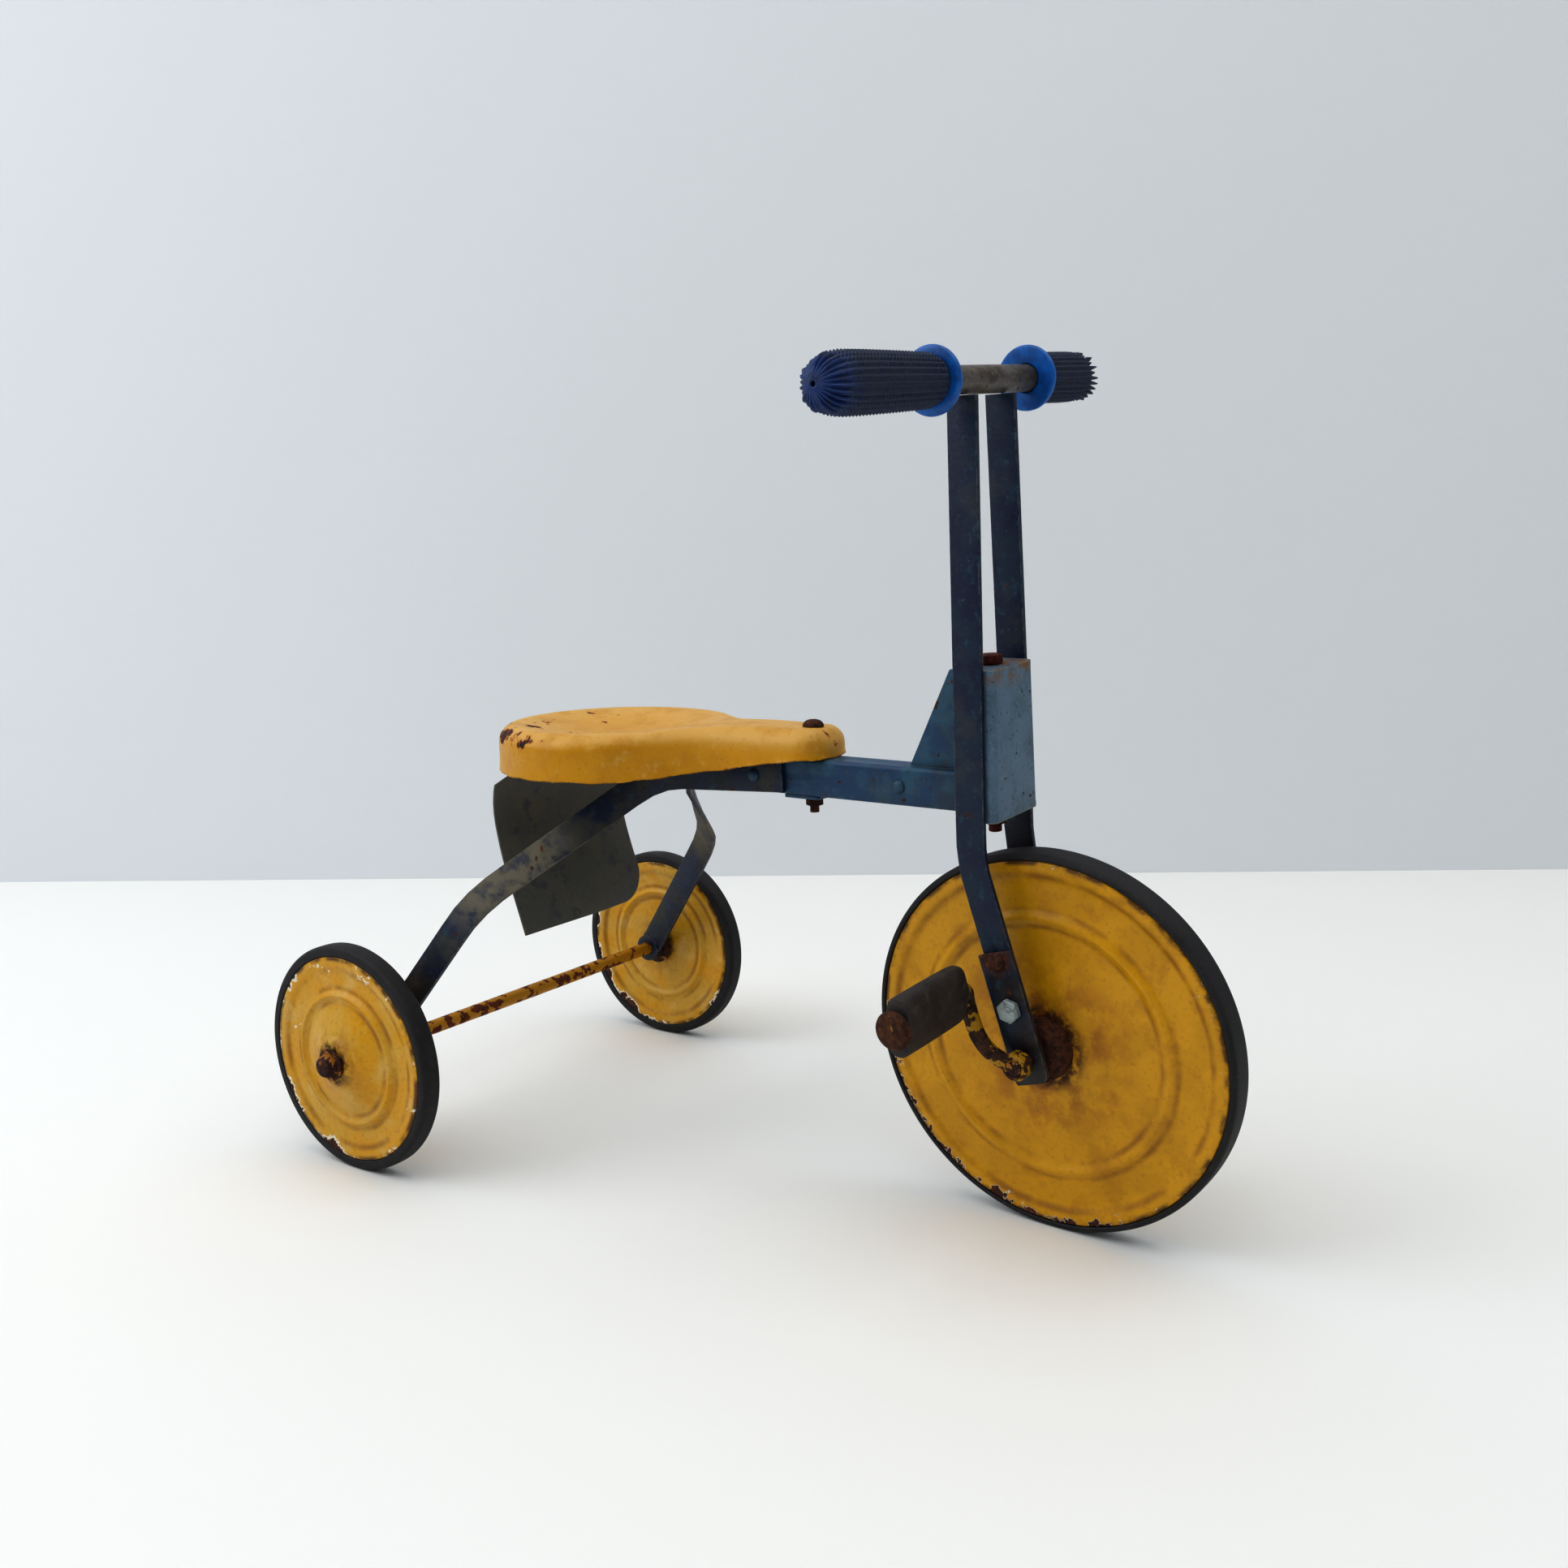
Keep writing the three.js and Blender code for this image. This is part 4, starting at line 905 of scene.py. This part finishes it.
def grip(profile, place, end_from, spikes, seed):
    """A moulded grip: rows of small teeth run along it, and grow from end_from into fins that reach spikes
    millimetres past its end."""
    step = 0.6
    rings = []
    for (r0, h0), (r1, h1) in zip(profile, profile[1:]):
        parts = max(1, round(hypot(r1 - r0, h1 - h0) / step))
        rings += [(r0 + (r1 - r0) * i / parts, h0 + (h1 - h0) * i / parts) for i in range(parts)]
    rings.append(profile[-1])
    piece = turned(rings, place, RIBS * ACROSS_RIB)
    stand = place @ ALONG_Y
    back = stand.inverted()
    draw = random.Random(seed)
    fins = [draw.uniform(0.3, 1.0) for _ in range(RIBS)]
    for vertex in piece.data.vertices:
        x, y, along = back @ vertex.co / MM
        out = hypot(x, y)
        if out < 2.2:
            continue
        angle = whole_angle(x, y) * RIBS / (2 * pi)
        rib = int(angle) % RIBS
        crest = max(0.0, cos(1.25 * pi * (angle - int(angle) - 0.5)))
        tooth = (0.5 + 0.5 * cos(2 * pi * (along / TOOTH + 0.5 * (rib % 2)))) ** 1.5
        end = ease(along, end_from, end_from + 5)
        body = ease(along, 55.5, 58)
        lift = crest * body * ((0.35 + 1.5 * tooth) * (1 - end) + 2.2 * fins[rib] * end) - 0.5 * body
        grown = 1 + lift * (1 - 0.55 * ease(out, 13.5, 5)) / out
        reach = end * spikes * fins[rib] * crest * ease(out, 6, 11)
        vertex.co = stand @ (Vector((x * grown, y * grown, along + reach)) * MM)
    soften(piece)
    return piece


def whole_angle(x, y):
    """The angle of a point about the middle, from 0 up to a whole turn."""
    return Vector((x, y)).angle_signed(Vector((1, 0))) % (2 * pi)


right_profile = [(13.6, 54.3), (14, 62), (14.7, 90), (15.3, 120), (15.3, 136), (14.4, 145), (12.4, 151),
                 (9.4, 155), (5.8, 157.6), (2.4, 158.5), (1.5, 158.3), (1.3, 154), (0.6, 153.8)]
left_profile = [(13.5, 54.3), (13.7, 62), (14, 90), (13.8, 104), (13.2, 110), (11.8, 110.6), (9.8, 110.2),
                (9.4, 106.5), (3, 106.4), (0.6, 106.3)]
for side, mirror, profile, end_from, spikes in (
    ("right", FLIP_Y, right_profile, 143, 1.2),
    ("left", Matrix.Identity(4), left_profile, 105, 7.5),
):
    sleeve = grip(profile, BAR @ mirror, end_from, spikes, 5)
    hand_over(sleeve, f"grip_{side}_sleeve", "fork", "grip_vinyl", vinyl, f"grip_{side}")
    flange = lathe_ring([(8.5, 50), (18.2, 50), (18.9, 50.8), (19, 52.4), (18.4, 53.6), (16.6, 54.2), (8.5, 54.2)],
                        BAR @ mirror, 96)
    soften(flange, 0.3)
    hand_over(flange, f"grip_{side}_flange", "fork", "grip_vinyl", flange_blue, f"grip_{side}")


# ---- Camera, floor and light -----------------------------------------------------------------------------------------

YAW, PITCH, TILT = 2.188, -0.172, 0.022
CAMERA_AT, LENS, SENSOR = (580.2, -806.6, 435.4), 34.844, 36
forward = Vector((cos(PITCH) * cos(YAW), cos(PITCH) * sin(YAW), sin(PITCH)))
level = forward.cross(Vector((0, 0, 1))).normalized()
under = forward.cross(level)
right = level * cos(TILT) + under * sin(TILT)
up = level * sin(TILT) - under * cos(TILT)
camera = bpy.data.objects.new("camera", bpy.data.cameras.new("camera"))
bpy.context.scene.collection.objects.link(camera)
turned_to = Matrix((right, up, -forward)).transposed().to_4x4()
camera.matrix_world = shift(*CAMERA_AT) @ turned_to
camera.data.lens = LENS
camera.data.sensor_width = SENSOR
camera.data.clip_end = 50
bpy.context.scene.camera = camera

bpy.ops.object.select_all(action="DESELECT")
ROOM = 12
bpy.ops.mesh.primitive_plane_add(size=ROOM, location=(0, 0, 0))
floor = bpy.context.object
floor.name = "floor"
board = Finish("matt_white_floor", 0.75)
board.coat("#ecece9")
floor.data.materials.append(board.done())
# The wall shows only its front, so that it hides nothing when the tricycle is seen from behind it.
paper = Finish("matt_pale_wall", 0.9)
paper.coat("#e4e7ea")
paper.done()
behind = paper.node("NewGeometry", out="Backfacing")
clear = paper.node("BsdfTransparent")
one_sided = paper.node("MixShader", (behind, paper.shader.outputs[0], clear))
paper.tree.links.new(one_sided, paper.tree.nodes["Material Output"].inputs["Surface"])
WALL_POINT, WALL_NORMAL = Vector((-1.3414, 0.1594, 0)), Vector((0.52932, -0.84842, 0))
bpy.ops.mesh.primitive_plane_add(size=ROOM, location=WALL_POINT + Vector((0, 0, ROOM / 2)),
                                 rotation=WALL_NORMAL.to_track_quat("Z", "Y").to_euler())
wall = bpy.context.object
wall.name = "wall"
wall.data.materials.append(paper.material)


def soft_light(name, at, aim, size, watts, hex_colour):
    """A rectangular area light, placed and aimed in metres."""
    lamp = bpy.data.lights.new(name, "AREA")
    lamp.shape = "RECTANGLE"
    lamp.size, lamp.size_y = size
    lamp.energy = watts
    lamp.color = linear(hex_colour)[:3]
    stand = bpy.data.objects.new(name, lamp)
    bpy.context.scene.collection.objects.link(stand)
    stand.location = at
    stand.rotation_euler = (Vector(aim) - Vector(at)).to_track_quat("-Z", "Y").to_euler()


soft_light("window", (-1.9, -1.9, 1.9), (0, 0, 0.1), (2.4, 2.0), 26, "#f6f9ff")
soft_light("ceiling", (0.5, 0.1, 3.4), (0.5, 0.11, 0), (6, 6), 122, "#fdfcfa")
room = bpy.data.worlds.new("room")
bpy.context.scene.world = room
room.use_nodes = True
room_light = room.node_tree.nodes["Background"]
room_light.inputs["Color"].default_value = linear("#dfe6ee")
room_light.inputs["Strength"].default_value = 0.22
bpy.context.scene.view_settings.view_transform = "Standard"
bpy.context.scene.view_settings.look = "High Contrast"
